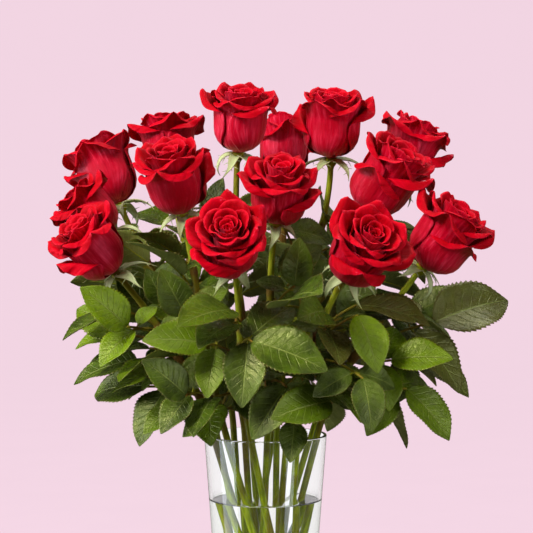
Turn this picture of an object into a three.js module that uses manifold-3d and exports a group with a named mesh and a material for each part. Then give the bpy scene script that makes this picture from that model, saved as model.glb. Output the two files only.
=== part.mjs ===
// Fourteen long-stemmed red roses standing in a tapered clear glass vase part-filled with water.
// Millimetres, +Z up. The origin is the middle of the vase's flat underside, and -Y is the bouquet's front.
// Each rose is two solids: its bloom, and its leafy stem with thorns, hip, sepals and compound leaves.
import * as THREE from 'three';
import { mergeVertices } from 'three/addons/utils/BufferGeometryUtils.js';
import Module from 'manifold-3d';

const wasm = await Module();
wasm.setup();

// ---------------------------------------------------------------- driving dimensions
const VASE_HEIGHT = 225;
const VASE_RIM_RADIUS = 57.8;
const VASE_FOOT_RADIUS = 41;
const GLASS_WALL = 3;
const GLASS_BASE = 10;
const BORE_CORNER = 5; // the slope between the base and the wall, inside
const WATER_LEVEL = 165;
const LATHE_SIDES = 28;
const FIT = 0.3; // clearance between touching pieces

const STEM_RADIUS = 3.1;
const STEM_SIDES = 5; // one for each sepal
const HOLE_CLEARANCE = 0.45;
const STEM_FOOT_LIFT = 0.9; // the cut end is tilted, so its centre stands this much above the base
const HIP_LENGTH = 12;
// The stems stand in two rings, which turn opposite ways round the vase, by degrees, from rim to foot.
const RINGS = {
  outer: { rim: 50, foot: 29, twist: 110 },
  inner: { rim: 21, foot: 8, twist: -60 },
};

const PETAL_COUNT = 26; // whorl positions, 0 in the heart of the bloom
const MODELLED_PETALS = [14, 16, 18, 20, 22, 23, 24, 25];
const FLARED_FROM = 22; // petals from this position on open widest
const GUARD_FROM = 25; // and from this one on are short
const PETAL_THICKNESS = 1;
const LEAF_THICKNESS = 1.3;
const GOLDEN_ANGLE = 137.5;
const CORE_SIDES = 7;
const TIP_NARROWING = 0.6; // the lip's inner points close in on its pointed tip

// Each rose: where its bloom sits on the stem, the way the bloom faces, its size and spin,
// and the ring and bearing at which its stem crosses the rim.
const ROSES = {
  front_left: {
    base: [-28, -93, 388], faces: [-0.08, -0.78, 0.62],
    size: 1.03, open: 1.0, spin: 26, ring: 'outer', rimAt: 255,
  },
  front_right: {
    base: [74, -83, 381], faces: [0.36, -0.7, 0.62],
    size: 1.09, open: 1.0, spin: 75, ring: 'outer', rimAt: 305,
  },
  centre: {
    base: [9, -60, 426], faces: [0.1, -0.48, 0.87],
    size: 1.0, open: 1.1, spin: 140, ring: 'inner', rimAt: 275,
  },
  left_middle: {
    base: [-76, -55, 435], faces: [-0.18, -0.42, 0.89],
    size: 1.06, open: 0.8, spin: 200, ring: 'outer', rimAt: 225,
  },
  top_left: {
    base: [-26, 5, 491], faces: [0.06, -0.3, 0.95],
    size: 1.02, open: 1.0, spin: 250, ring: 'inner', rimAt: 131,
  },
  top_right: {
    base: [62, 13, 486], faces: [0.03, -0.27, 0.96],
    size: 1.06, open: 0.6, spin: 310, ring: 'inner', rimAt: 59,
  },
  right_middle: {
    base: [94, -10, 436], faces: [0.52, -0.34, 0.78],
    size: 1.14, open: 0.8, spin: 40, ring: 'inner', rimAt: 347,
  },
  far_right: {
    base: [144, -42, 385], faces: [0.55, -0.28, 0.79],
    size: 1.1, open: 0.9, spin: 100, ring: 'outer', rimAt: 345,
  },
  top_far_right: {
    base: [128, 68, 466], faces: [0.42, -0.05, 0.91],
    size: 1.05, open: 1.2, spin: 160, ring: 'outer', rimAt: 25,
  },
  back_centre: {
    base: [17, 100, 468], faces: [0.02, 0.12, 0.99],
    size: 0.98, open: 0.5, spin: 220, ring: 'outer', rimAt: 80,
  },
  back_left: {
    base: [-93, 91, 469], faces: [-0.12, 0.15, 0.98],
    size: 1.0, open: 1.2, spin: 280, ring: 'outer', rimAt: 128,
  },
  upper_left: {
    base: [-142, 60, 442], faces: [-0.4, 0.24, 0.88],
    size: 1.1, open: 0.8, spin: 340, ring: 'outer', rimAt: 160,
  },
  far_left: {
    base: [-137, -57, 381], faces: [-0.58, -0.34, 0.74],
    size: 1.0, open: 1.0, spin: 10, ring: 'outer', rimAt: 195,
  },
  left_behind: {
    base: [-146, 13, 415], faces: [-0.7, -0.03, 0.72],
    size: 0.93, open: 1.0, spin: 60, ring: 'inner', rimAt: 203,
  },
};

// The leaves that show from the front: the stem and height they grow from, then the foot and tip of the
// end leaflet, and how many leaflets the leaf has.
const FRONT_LEAVES = [
  { rose: 'front_left', from: 312, foot: [-12, -122, 322], tip: [54, -137, 297], leaflets: 3 },
  { rose: 'front_right', from: 300, foot: [85, -125, 290], tip: [92, -137, 244], leaflets: 3 },
  { rose: 'front_right', from: 335, foot: [72, -112, 352], tip: [150, -132, 366], leaflets: 1 },
  { rose: 'far_right', from: 300, foot: [138, -72, 332], tip: [222, -84, 350], leaflets: 3 },
  { rose: 'far_right', from: 272, foot: [98, -92, 302], tip: [149, -115, 304], leaflets: 3 },
  { rose: 'right_middle', from: 285, foot: [146, -20, 295], tip: [190, -28, 259], leaflets: 3 },
  { rose: 'front_right', from: 262, foot: [58, -95, 266], tip: [5, -125, 254], leaflets: 1 },
  { rose: 'centre', from: 262, foot: [26, -78, 246], tip: [22, -98, 212], leaflets: 1 },
  { rose: 'front_left', from: 250, foot: [-41, -75, 256], tip: [-2, -102, 226], leaflets: 3 },
  { rose: 'left_middle', from: 262, foot: [-83, -92, 272], tip: [-124, -104, 305], leaflets: 3 },
  { rose: 'far_left', from: 262, foot: [-84, -58, 272], tip: [-150, -75, 260], leaflets: 3 },
  { rose: 'far_left', from: 312, foot: [-124, -84, 332], tip: [-164, -100, 368], leaflets: 3 },
  { rose: 'left_middle', from: 292, foot: [-93, -100, 322], tip: [-150, -120, 343], leaflets: 1 },
  { rose: 'left_middle', from: 325, foot: [-72, -75, 342], tip: [-94, -88, 384], leaflets: 3 },
  { rose: 'upper_left', from: 345, foot: [-80, -10, 372], tip: [-140, 2, 420], leaflets: 3 },
  { rose: 'top_right', from: 365, foot: [56, -50, 398], tip: [50, -42, 462], leaflets: 3 },
  { rose: 'top_left', from: 385, foot: [-45, -8, 430], tip: [-30, 0, 472], leaflets: 3 },
  { rose: 'centre', from: 340, foot: [-3, -76, 368], tip: [-5, -86, 412], leaflets: 3 },
  { rose: 'centre', from: 296, foot: [35, -90, 326], tip: [58, -98, 380], leaflets: 1 },
  { rose: 'right_middle', from: 330, foot: [96, -62, 372], tip: [112, -96, 415], leaflets: 3 },
  { rose: 'front_left', from: 300, foot: [-52, -100, 318], tip: [-108, -116, 322], leaflets: 3 },
  { rose: 'front_right', from: 312, foot: [60, -116, 330], tip: [66, -128, 276], leaflets: 1 },
  { rose: 'far_right', from: 258, foot: [112, -78, 292], tip: [154, -98, 254], leaflets: 3 },
  { rose: 'top_left', from: 335, foot: [-55, -45, 370], tip: [-76, -56, 416], leaflets: 3 },
  { rose: 'left_middle', from: 250, foot: [-70, -84, 266], tip: [-16, -112, 280], leaflets: 3 },
  { rose: 'left_middle', from: 355, foot: [-84, -72, 352], tip: [-98, -84, 384], leaflets: 1 },
  { rose: 'centre', from: 275, foot: [18, -92, 294], tip: [-10, -112, 250], leaflets: 3 },
  { rose: 'far_left', from: 245, foot: [-72, -52, 256], tip: [-100, -70, 232], leaflets: 1 },
  { rose: 'top_far_right', from: 300, foot: [136, -28, 312], tip: [170, -40, 330], leaflets: 3 },
  { rose: 'top_right', from: 290, foot: [80, -60, 318], tip: [40, -86, 352], leaflets: 3 },
];

// The other leaves grow at these heights all round, on every stem that has room for one.
const FILL_HEIGHTS = [300, 345, 262, 385];
const SHORTEST_FILL = 64;
const LEAVES_MOST = 53;

const COLOURS = {
  petal: '#a8061c',
  leaf: '#2f4d16',
  glass: '#dfe8e6',
  water: '#dfe6df',
};

// ---------------------------------------------------------------- small helpers
const radians = THREE.MathUtils.degToRad;
const vector = (a) => new THREE.Vector3(a[0], a[1], a[2]);
const smooth = (x) => {
  const t = Math.min(1, Math.max(0, x));
  return t * t * (3 - 2 * t);
};

// A seeded draw from 0 to 1, so that the bouquet is the same each time.
function drawer(seed) {
  let state = seed;
  return () => {
    state = (state * 1664525 + 1013904223) % 4294967296;
    return state / 4294967296;
  };
}

function solid(points, faces) {
  const vertProperties = new Float32Array(points.flatMap((p) => [p.x, p.y, p.z]));
  const triVerts = new Uint32Array(faces.flat());
  return new wasm.Manifold(new wasm.Mesh({ numProp: 3, vertProperties, triVerts }));
}

function solidOfGeometry(geometry) {
  const bare = geometry.clone();
  bare.deleteAttribute('normal');
  bare.deleteAttribute('uv');
  const merged = mergeVertices(bare, 1e-3);
  const position = merged.getAttribute('position');
  const points = Array.from({ length: position.count }, (_, i) => (
    new THREE.Vector3().fromBufferAttribute(position, i)));
  const faces = [];
  for (let i = 0; i < merged.index.count; i += 3) {
    const [a, b, c] = [0, 1, 2].map((k) => merged.index.getX(i + k));
    if (a !== b && b !== c && a !== c) faces.push([a, b, c]);
  }
  return solid(points, faces);
}

function geometryOfSolid(body) {
  const mesh = body.getMesh();
  const position = new Float32Array(mesh.numVert * 3);
  for (let i = 0; i < mesh.numVert; i++) {
    position.set(mesh.vertProperties.subarray(i * mesh.numProp, i * mesh.numProp + 3), i * 3);
  }
  const geometry = new THREE.BufferGeometry();
  geometry.setAttribute('position', new THREE.BufferAttribute(position, 3));
  geometry.setIndex(new THREE.BufferAttribute(new Uint32Array(mesh.triVerts), 1));
  geometry.computeVertexNormals();
  return geometry;
}

function joined(bodies) {
  return bodies.reduce((all, body) => all.add(body));
}

// The body's largest piece: a scrap that a cut leaves loose is dropped.
function largest(body) {
  return body.decompose().reduce((best, piece) => (piece.volume() > best.volume() ? piece : best));
}

// A closed skin of triangles, put together ring by ring. Each ring runs anticlockwise about its way forward.
class Skin {
  constructor() {
    this.points = [];
    this.faces = [];
  }

  ring(points) {
    return points.map((point) => this.points.push(point) - 1);
  }

  // Joins two rings side by side, or a ring to its tip, but for the sides left open.
  sleeve(from, to, open = []) {
    from.forEach((a, k) => {
      const b = (k + 1) % from.length;
      if (open.includes(k)) return;
      this.faces.push([a, from[b], to.length > 1 ? to[b] : to[0]]);
      if (to.length > 1) this.faces.push([a, to[b], to[k]]);
    });
  }

  startCap(ring) {
    for (let k = 1; k + 1 < ring.length; k++) this.faces.push([ring[0], ring[k + 1], ring[k]]);
  }

  endCap(ring) {
    for (let k = 1; k + 1 < ring.length; k++) this.faces.push([ring[0], ring[k], ring[k + 1]]);
  }

  // Fills between two lines of points that meet at their last one. Each point has its share of the way.
  strip(a, b) {
    let [i, j] = [0, 0];
    const [lastA, lastB] = [a.line.length - 1, b.line.length - 1];
    while (i < lastA || j < lastB) {
      const stepA = j === lastB || (i < lastA && a.at[i + 1] <= b.at[j + 1]);
      const next = stepA ? a.line[i + 1] : b.line[j + 1];
      if (next !== a.line[i] && next !== b.line[j]) this.faces.push([a.line[i], b.line[j], next]);
      if (stepA) i += 1;
      else j += 1;
    }
  }

  solid() {
    return solid(this.points, this.faces);
  }
}

// The rings of a tube along a path, with its own radius at each point.
function tubeRings(path, radii, sides) {
  const start = path[1].clone().sub(path[0]);
  const side = new THREE.Vector3(1, 0, 0);
  if (Math.abs(start.x) > 0.7 * start.length()) side.set(0, 0, 1);
  return path.map((point, i) => {
    const tangent = path[Math.min(i + 1, path.length - 1)].clone().sub(path[Math.max(i - 1, 0)]).normalize();
    side.addScaledVector(tangent, -side.dot(tangent)).normalize();
    const other = tangent.clone().cross(side);
    if (radii[i] === 0) return [point.clone()];
    return Array.from({ length: sides }, (_, k) => {
      const angle = (k / sides) * 2 * Math.PI;
      return point.clone()
        .addScaledVector(side, radii[i] * Math.cos(angle))
        .addScaledVector(other, radii[i] * Math.sin(angle));
    });
  });
}

function tube(path, radii, sides) {
  const skin = new Skin();
  const rings = tubeRings(path, radii, sides).map((points) => skin.ring(points));
  rings.slice(1).forEach((ring, i) => skin.sleeve(rings[i], ring));
  skin.startCap(rings[0]);
  skin.endCap(rings[rings.length - 1]);
  return skin.solid();
}

// ---------------------------------------------------------------- vase and water
const vaseRadius = (z) => VASE_FOOT_RADIUS + ((VASE_RIM_RADIUS - VASE_FOOT_RADIUS) * z) / VASE_HEIGHT;
const boreRadius = (z) => vaseRadius(z) - GLASS_WALL;

function lathe(profile) {
  const geometry = new THREE.LatheGeometry(profile.map(([r, z]) => new THREE.Vector2(r, z)), LATHE_SIDES);
  return geometry.rotateX(Math.PI / 2);
}

function vase() {
  const [footEdge, rimEdge] = [2.5, 1];
  return lathe([
    [0, 0],
    [VASE_FOOT_RADIUS - footEdge, 0],
    [vaseRadius(footEdge), footEdge],
    [VASE_RIM_RADIUS, VASE_HEIGHT - rimEdge],
    [VASE_RIM_RADIUS - rimEdge, VASE_HEIGHT],
    [boreRadius(VASE_HEIGHT), VASE_HEIGHT],
    [boreRadius(GLASS_BASE + BORE_CORNER), GLASS_BASE + BORE_CORNER],
    [boreRadius(GLASS_BASE) - BORE_CORNER, GLASS_BASE],
    [0, GLASS_BASE],
  ]);
}

// The water fills the bore to its level, with a plain hole for each stem.
function water(stemLines) {
  const body = solidOfGeometry(lathe([
    [0, GLASS_BASE + FIT],
    [boreRadius(GLASS_BASE) - BORE_CORNER - FIT, GLASS_BASE + FIT],
    [boreRadius(GLASS_BASE + BORE_CORNER) - FIT, GLASS_BASE + BORE_CORNER],
    [boreRadius(WATER_LEVEL) - FIT, WATER_LEVEL],
    [0, WATER_LEVEL],
  ]));
  const holes = stemLines.map(({ foot, rim }) => {
    const along = rim.clone().sub(foot);
    const below = foot.clone().addScaledVector(along, -0.1);
    const radius = STEM_RADIUS + HOLE_CLEARANCE;
    return tube([below, foot, rim], [radius, radius, radius], STEM_SIDES);
  });
  return geometryOfSolid(largest(holes.reduce((left, hole) => left.subtract(hole), body)));
}

// ---------------------------------------------------------------- stems
// A stem runs straight from the vase's base to the rim, then curves up into the foot of its bloom.
function stemLine(rose) {
  const ring = RINGS[rose.ring];
  const at = (radius, degrees, z) => (
    new THREE.Vector3(radius * Math.cos(radians(degrees)), radius * Math.sin(radians(degrees)), z));
  const foot = at(ring.foot, rose.rimAt + ring.twist, GLASS_BASE + FIT + STEM_FOOT_LIFT);
  const rim = at(ring.rim, rose.rimAt, VASE_HEIGHT);
  const axis = vector(rose.faces).normalize();
  const top = vector(rose.base).addScaledVector(axis, -HIP_LENGTH);
  const reach = top.distanceTo(rim);
  const leaving = rim.clone().sub(foot).normalize();
  const curve = new THREE.CubicBezierCurve3(
    rim,
    rim.clone().addScaledVector(leaving, reach * 0.35),
    top.clone().addScaledVector(axis, -reach * 0.3),
    top,
  );
  return { foot, rim, axis, curve };
}

// The point of the stem's upper curve at a height.
function stemAt(line, z) {
  let [low, high] = [0, 1];
  for (let i = 0; i < 30; i++) {
    const middle = (low + high) / 2;
    if (line.curve.getPoint(middle).z < z) low = middle;
    else high = middle;
  }
  return line.curve.getPoint(low);
}

// The stem with its hip and the five sepals that grow from the hip's sides.
function stemSolid(rose, line) {
  const base = vector(rose.base);
  const upper = [0.25, 0.5, 0.75, 1].map((t) => line.curve.getPoint(t));
  const hip = [[-8, 4.2], [-3.6, 6.2], [-FIT, 5.2]];
  const hipPath = hip.map(([along]) => base.clone().addScaledVector(line.axis, along));
  const hipRadii = hip.map(([, radius]) => radius);
  const path = [line.foot, line.rim, ...upper, ...hipPath];
  const radii = [STEM_RADIUS, STEM_RADIUS, ...upper.map(() => STEM_RADIUS - 0.2), ...hipRadii];
  const skin = new Skin();
  const rings = tubeRings(path, radii, STEM_SIDES).map((points) => skin.ring(points));
  const sides = [0, 1, 2, 3, 4];
  const calyx = rings.length - 2;
  rings.slice(1).forEach((ring, i) => skin.sleeve(rings[i], ring, i + 1 === calyx ? sides : []));
  skin.startCap(rings[0]);
  skin.endCap(rings[rings.length - 1]);
  const draw = drawer(Math.round(rose.spin) + 7);
  sides.forEach((k) => {
    const next = (k + 1) % STEM_SIDES;
    const root = [rings[calyx - 1][k], rings[calyx - 1][next], rings[calyx][next], rings[calyx][k]];
    sepal(skin, root, base, line.axis, radians(50 + 75 * draw()), 26 + 9 * draw());
  });
  return skin.solid();
}

// A narrow blade that leaves the hip and bends back towards the stem.
function sepal(skin, root, base, axis, bend, length) {
  const middle = root.reduce((sum, i) => sum.add(skin.points[i]), new THREE.Vector3()).multiplyScalar(0.25);
  const out = middle.clone().sub(base);
  out.addScaledVector(axis, -out.dot(axis)).normalize();
  const across = axis.clone().cross(out);
  const stations = [[0.42, 4, 0.6], [0.76, 2.1, 0.5], [1, 0, 0]];
  let last = root;
  stations.forEach(([s, width, thickness]) => {
    const [reach, drop] = arc(bend, length * s, length);
    const point = base.clone().addScaledVector(out, 4 + reach).addScaledVector(axis, -4 - drop);
    const normal = axis.clone().multiplyScalar(Math.cos(bend * s)).addScaledVector(out, Math.sin(bend * s));
    const corner = (x, y) => (
      point.clone().addScaledVector(across, x * width).addScaledVector(normal, y * thickness));
    const corners = [corner(-1, -1), corner(1, -1), corner(1, 1), corner(-1, 1)];
    const ring = skin.ring(width === 0 ? [point] : corners);
    skin.sleeve(last, ring);
    last = ring;
  });
}

// How far a strip of a length has gone out and down after s, bending evenly through an angle.
function arc(bend, s, length) {
  const angle = (bend * s) / length;
  return [(length / bend) * Math.sin(angle), (length / bend) * (1 - Math.cos(angle))];
}

// ---------------------------------------------------------------- leaves
const LEAF_WIDTH = 0.33; // half width over length
const LEAF_CURL = 0.55; // radians that a leaflet's rib bends down over its length
const LEAF_FOLD = 0.26; // radians that each half rises from the rib
// A side leaflet's length against the end one's, and how far it leans forward: the first that has room grows.
const SIDE_SIZES = [[0.82, 0.31], [0.7, 0.1], [0.6, 0.31], [0.5, 0]];
const NECK = 1.1; // half width of a leaflet where it starts
const FRONT_FACING = 0.6; // how far the drawn leaves face the front instead of outwards
const RIB_STATIONS = [0.45];
// The teeth and notches along one edge of an end leaflet, and of a side one: share of the length, and
// share of the half width there.
const TEETH = [[0.3, 1.04], [0.35, 0.9], [0.64, 1.1], [0.69, 0.9]];
const SIDE_TEETH = [[0.27, 1.02], [0.6, 1.1], [0.66, 0.9]];

const leafShape = (s) => Math.pow(Math.sin(Math.PI * Math.pow(s, 0.78)), 0.85);

// A leaflet grows from foot in a direction, with its upper face towards normal.
function leaflet(foot, direction, normal, length) {
  const along = direction.clone().normalize();
  const up = normal.clone().addScaledVector(along, -normal.dot(along)).normalize();
  return { foot, along, up, across: along.clone().cross(up), length };
}

// A leaflet's point at share s of its rib and x, from -1 to 1, of its half width.
function leafPoint(leaf, s, x) {
  const bend = LEAF_CURL * s;
  const [reach, drop] = arc(LEAF_CURL, leaf.length * s, leaf.length);
  const half = LEAF_WIDTH * leaf.length * leafShape(s);
  const up = leaf.up.clone().multiplyScalar(Math.cos(bend)).addScaledVector(leaf.along, Math.sin(bend));
  return leaf.foot.clone()
    .addScaledVector(leaf.along, reach)
    .addScaledVector(leaf.up, -drop)
    .addScaledVector(leaf.across, half * x * Math.cos(LEAF_FOLD))
    .addScaledVector(up, half * Math.abs(x) * Math.sin(LEAF_FOLD));
}

function leafNormal(leaf, s) {
  const bend = LEAF_CURL * s;
  return leaf.up.clone().multiplyScalar(Math.cos(bend)).addScaledVector(leaf.along, Math.sin(bend));
}

// The four points of a leaflet's neck: above, right, below and left.
function leafNeck(leaf) {
  const corner = (x, y) => leafPoint(leaf, 0, 0)
    .addScaledVector(leaf.across, x * NECK)
    .addScaledVector(leaf.up, (y * LEAF_THICKNESS) / 2);
  return [corner(0, 1), corner(1, 0), corner(0, -1), corner(-1, 0)];
}

// A toothed blade that goes on from its neck, thick at the rib and thin at its edge.
function leafBlade(skin, neck, leaf, teeth) {
  const tip = skin.ring([leafPoint(leaf, 1, 0)])[0];
  const rib = (side) => skin.ring(RIB_STATIONS.map((s) => (
    leafPoint(leaf, s, 0).addScaledVector(leafNormal(leaf, s), side * LEAF_THICKNESS / 2))));
  const edge = (hand) => skin.ring(teeth.map(([s, x]) => leafPoint(leaf, s, hand * x)));
  const lines = [rib(1), edge(1), rib(-1), edge(-1)].map((inner, k) => ({
    at: [0, ...(k % 2 ? teeth.map(([s]) => s) : RIB_STATIONS), 1],
    line: [neck[k], ...inner, tip],
  }));
  lines.forEach((line, k) => skin.strip(line, lines[(k + 1) % 4]));
}

// A compound leaf: its stalk from the stem, the end leaflet, and a pair of smaller ones below it.
// It faces up and outwards or, by the frontal share, up and to the front.
function compoundLeaf(start, foot, tip, count, frontal) {
  const up = new THREE.Vector3(0, 0, 1);
  const front = new THREE.Vector3(0, -1, 0);
  const outwards = new THREE.Vector3(foot.x, foot.y, 0).normalize();
  const level = outwards.multiplyScalar(1 - frontal).addScaledVector(front, frontal);
  const normal = up.clone().multiplyScalar(0.5).addScaledVector(level, 0.7);
  const direction = tip.clone().sub(foot).normalize();
  const length = tip.distanceTo(foot) * 1.02;
  const reach = foot.distanceTo(start);
  const bow = start.clone().add(foot).multiplyScalar(0.5).addScaledVector(up, 0.12 * reach);
  const curve = new THREE.QuadraticBezierCurve3(start, bow, foot);
  // The leaflet's chord is straight from foot to tip, so its first direction is raised by half the curl.
  const end = leaflet(foot, direction, normal, length);
  const raised = LEAF_CURL / 2;
  end.along = direction.clone().multiplyScalar(Math.cos(raised)).addScaledVector(end.up, Math.sin(raised));
  end.up.multiplyScalar(Math.cos(raised)).addScaledVector(direction, -Math.sin(raised));
  const rootAt = Math.max(0.35, 1 - (0.27 * length) / reach);
  const root = curve.getPoint(rootAt);
  const sideLeaflet = (hand, size, forward) => {
    const side = direction.clone().multiplyScalar(forward).addScaledVector(end.across, 0.95 * hand);
    return { hand, ...leaflet(root.clone().addScaledVector(side, 3.5), side, normal, length * size) };
  };
  const hands = count > 1 ? [1, -1] : [];
  const sides = hands.map((hand) => SIDE_SIZES.map(([size, forward]) => sideLeaflet(hand, size, forward)));
  return { curve, rootAt, end, sides };
}

// The four points round a leaf's stalk: above, right, below and left.
function stalkRing(leaf, t, radius) {
  const tangent = leaf.curve.getTangent(t).normalize();
  const up = leaf.end.up.clone();
  up.addScaledVector(tangent, -up.dot(tangent)).normalize();
  const across = tangent.clone().cross(up);
  const corner = (x, y) => (
    leaf.curve.getPoint(t).addScaledVector(across, x * radius).addScaledVector(up, y * radius));
  return [corner(0, 1), corner(1, 0), corner(0, -1), corner(-1, 0)];
}

function leafSolid(leaf) {
  const skin = new Skin();
  const [main, ...laterals] = leaf.leaflets;
  const reach = leaf.curve.getLength();
  const half = 1.6 / reach;
  const stations = [[0, 1.9], [leaf.rootAt / 2, 1.5]];
  if (laterals.length > 0) stations.push([leaf.rootAt - half, 1.5], [leaf.rootAt + half, 1.5]);
  const rings = stations.map(([t, radius]) => skin.ring(stalkRing(leaf, t, radius)));
  skin.startCap(rings[0]);
  const open = laterals.flatMap(({ hand }) => (hand > 0 ? [0, 1] : [2, 3]));
  rings.slice(1).forEach((ring, i) => skin.sleeve(rings[i], ring, i === 2 ? open : []));
  const neck = skin.ring(leafNeck(main));
  skin.sleeve(rings[rings.length - 1], neck);
  leafBlade(skin, neck, main, TEETH);
  laterals.forEach((lateral) => {
    const side = skin.ring(leafNeck(lateral));
    if (lateral.hand > 0) branch(skin, rings[2], rings[3], [0, 1, 2], side);
    else branch(skin, rings[2], rings[3], [2, 3, 0], [side[2], side[3], side[0], side[1]]);
    leafBlade(skin, side, lateral, SIDE_TEETH);
  });
  return skin.solid();
}

// Joins the open sides of a stalk between two rings to the neck of a side leaflet.
function branch(skin, from, to, [a, b, c], [near, back, far, front]) {
  skin.faces.push(
    [to[a], from[a], near], [from[a], from[b], back], [from[a], back, near],
    [from[b], from[c], back], [from[c], far, back], [from[c], to[c], far],
    [to[c], to[b], front], [to[c], front, far], [to[b], to[a], front], [to[a], near, front],
  );
}

function leafSamples(leaf) {
  const places = [];
  for (const s of [0.08, 0.2, 0.32, 0.44, 0.56, 0.68, 0.8, 0.92, 1]) {
    for (const x of s === 1 ? [0] : [-1, -0.66, -0.33, 0, 0.33, 0.66, 1]) places.push(leafPoint(leaf, s, x));
  }
  return places;
}

// Keeps each new leaf clear of the stems, blooms, glass and earlier leaves, as balls of a size.
class Thicket {
  constructor() {
    this.balls = [];
  }

  add(owner, points, radius) {
    points.forEach((point) => this.balls.push({ owner, point, radius }));
  }

  isClear(points, margin, start, owner) {
    return points.every((point) => {
      if (point.z < VASE_HEIGHT + 5 && Math.hypot(point.x, point.y) < VASE_RIM_RADIUS + 5) return false;
      return this.balls.every((ball) => {
        if (ball.owner === owner && ball.point.distanceTo(start) < 16) return true;
        return ball.point.distanceTo(point) > ball.radius + margin;
      });
    });
  }
}

const STALK_STATIONS = [0.13, 0.25, 0.37, 0.5, 0.62, 0.75, 0.87, 1];
const stalkSamples = (leaf) => STALK_STATIONS.map((t) => leaf.curve.getPoint(t));

const LEAF_MARGIN = 3.6;
const STALK_MARGIN = 2.4;
const TURNS = [0, 12, -12, 24, -24, 38, -38, 54, -54];
const TILTS = [0, 12, -12, 24, -24, 36];

// The leaf as drawn, or turned and tilted about its start until it is clear.
// Leaflets that still touch are left off.
function placeLeaf(thicket, owner, start, foot, tip, count, frontal) {
  const upright = new THREE.Vector3(0, 0, 1);
  let best = null;
  for (const tilt of TILTS) {
    for (const turn of TURNS) {
      const level = new THREE.Vector3(foot.y - start.y, start.x - foot.x, 0).normalize();
      const moved = [foot, tip].map((point) => point.clone().sub(start)
        .applyAxisAngle(level, radians(tilt)).applyAxisAngle(upright, radians(turn)).add(start));
      const leaf = compoundLeaf(start, moved[0], moved[1], count, frontal);
      const isFree = (leaflet) => thicket.isClear(leafSamples(leaflet), LEAF_MARGIN, start, owner);
      if (!thicket.isClear(stalkSamples(leaf), STALK_MARGIN, start, owner) || !isFree(leaf.end)) continue;
      const laterals = leaf.sides.map((choices) => choices.find(isFree)).filter(Boolean);
      const leaflets = [leaf.end, ...laterals];
      if (!best || leaflets.length > best.leaflets.length) best = { ...leaf, leaflets };
      if (leaflets.length === count) return best;
    }
  }
  return best;
}

// ---------------------------------------------------------------- blooms
// The petal at a whorl position: the cup it is part of, its lean, its flare and its rolled-back sides.
function petalForm(rose, index) {
  const share = index / (PETAL_COUNT - 1);
  const draw = drawer(Math.round(rose.spin) * 31 + index * 17 + 5);
  const { size, open } = rose;
  const radius = size * (2.5 + 23 * Math.pow(share, 1.2));
  const curled = Math.min(1, Math.max(0, (share - 0.3) / 0.7));
  const full = size * (48 + 17 * Math.sin(Math.min(1, share * 1.3) * Math.PI / 2) - 4 * Math.pow(share, 3));
  const height = full * (index >= GUARD_FROM ? 0.8 : 1) * (0.96 + 0.08 * draw());
  return {
    azimuth: radians(index * GOLDEN_ANGLE + rose.spin + 10 * (draw() - 0.5)),
    radius,
    height,
    halfAngle: Math.min(share < 0.5 ? 2.3 : 1.3, (size * (11 + 18 * share)) / radius),
    lean: radians(-6 + 12 * open * Math.pow(share, 1.7) + 5 * share * (draw() - 0.5)),
    start: size * (5 - 4 * share),
    flareAt: height * (0.72 - 0.1 * curled),
    flareRadius: size * (20 - 6 * curled),
    flareMost: radians(8 + 38 * open * curled * (0.65 + 0.7 * draw())),
    foldAt: height * (0.975 - 0.05 * curled * draw()),
    foldSlope: radians(6 + 24 * curled + 12 * draw()),
    foldRadius: size * (1.3 + 1.1 * curled),
    foldMost: radians(30 + (40 + 40 * open) * curled),
  };
}

// A petal's point: u from -1 to 1 across, v from 0 at its foot to 1 at its lip.
function petalPoint(petal, u, v) {
  const belly = 0.4 * petal.height;
  const rise = 0.36 * petal.height;
  const root = 3;
  const wide = Math.abs(u);
  let y = v * petal.height * (1 - v * (0.11 * Math.pow(wide, 2) + 0.15 * Math.pow(wide, 5)));
  let x = u * petal.halfAngle * petal.radius * (0.42 + 0.58 * smooth(v / 0.5));
  const past = Math.abs(x) * Math.sin(petal.foldSlope) + (y - petal.foldAt) * Math.cos(petal.foldSlope);
  let lift = 0;
  if (past > 0) {
    const angle = Math.min(past / petal.foldRadius, petal.foldMost);
    const straight = past - angle * petal.foldRadius;
    const along = petal.foldRadius * Math.sin(angle) + straight * Math.cos(angle);
    lift = petal.foldRadius * (1 - Math.cos(angle)) + straight * Math.sin(angle);
    x += Math.sign(x) * (along - past) * Math.sin(petal.foldSlope);
    y += (along - past) * Math.cos(petal.foldSlope);
  }
  const turn = Math.min(1, y / belly) * Math.PI / 2;
  const wall = Math.min(Math.max(y, belly), petal.flareAt) - belly;
  const beyond = Math.max(0, y - petal.flareAt);
  const flare = Math.min(beyond / petal.flareRadius, petal.flareMost);
  const rest = beyond - flare * petal.flareRadius;
  const way = petal.lean + flare;
  const radius = root + (petal.radius - root) * Math.sin(turn) + wall * Math.sin(petal.lean)
    + petal.flareRadius * (Math.cos(petal.lean) - Math.cos(way))
    + rest * Math.sin(way) + lift * Math.cos(way);
  const z = petal.start + rise * (1 - Math.cos(turn)) + wall * Math.cos(petal.lean)
    + petal.flareRadius * (Math.sin(way) - Math.sin(petal.lean))
    + rest * Math.cos(way) - lift * Math.sin(way);
  const azimuth = petal.azimuth + x / Math.max(radius, petal.radius);
  return new THREE.Vector3(radius * Math.cos(azimuth), radius * Math.sin(azimuth), z);
}

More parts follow.
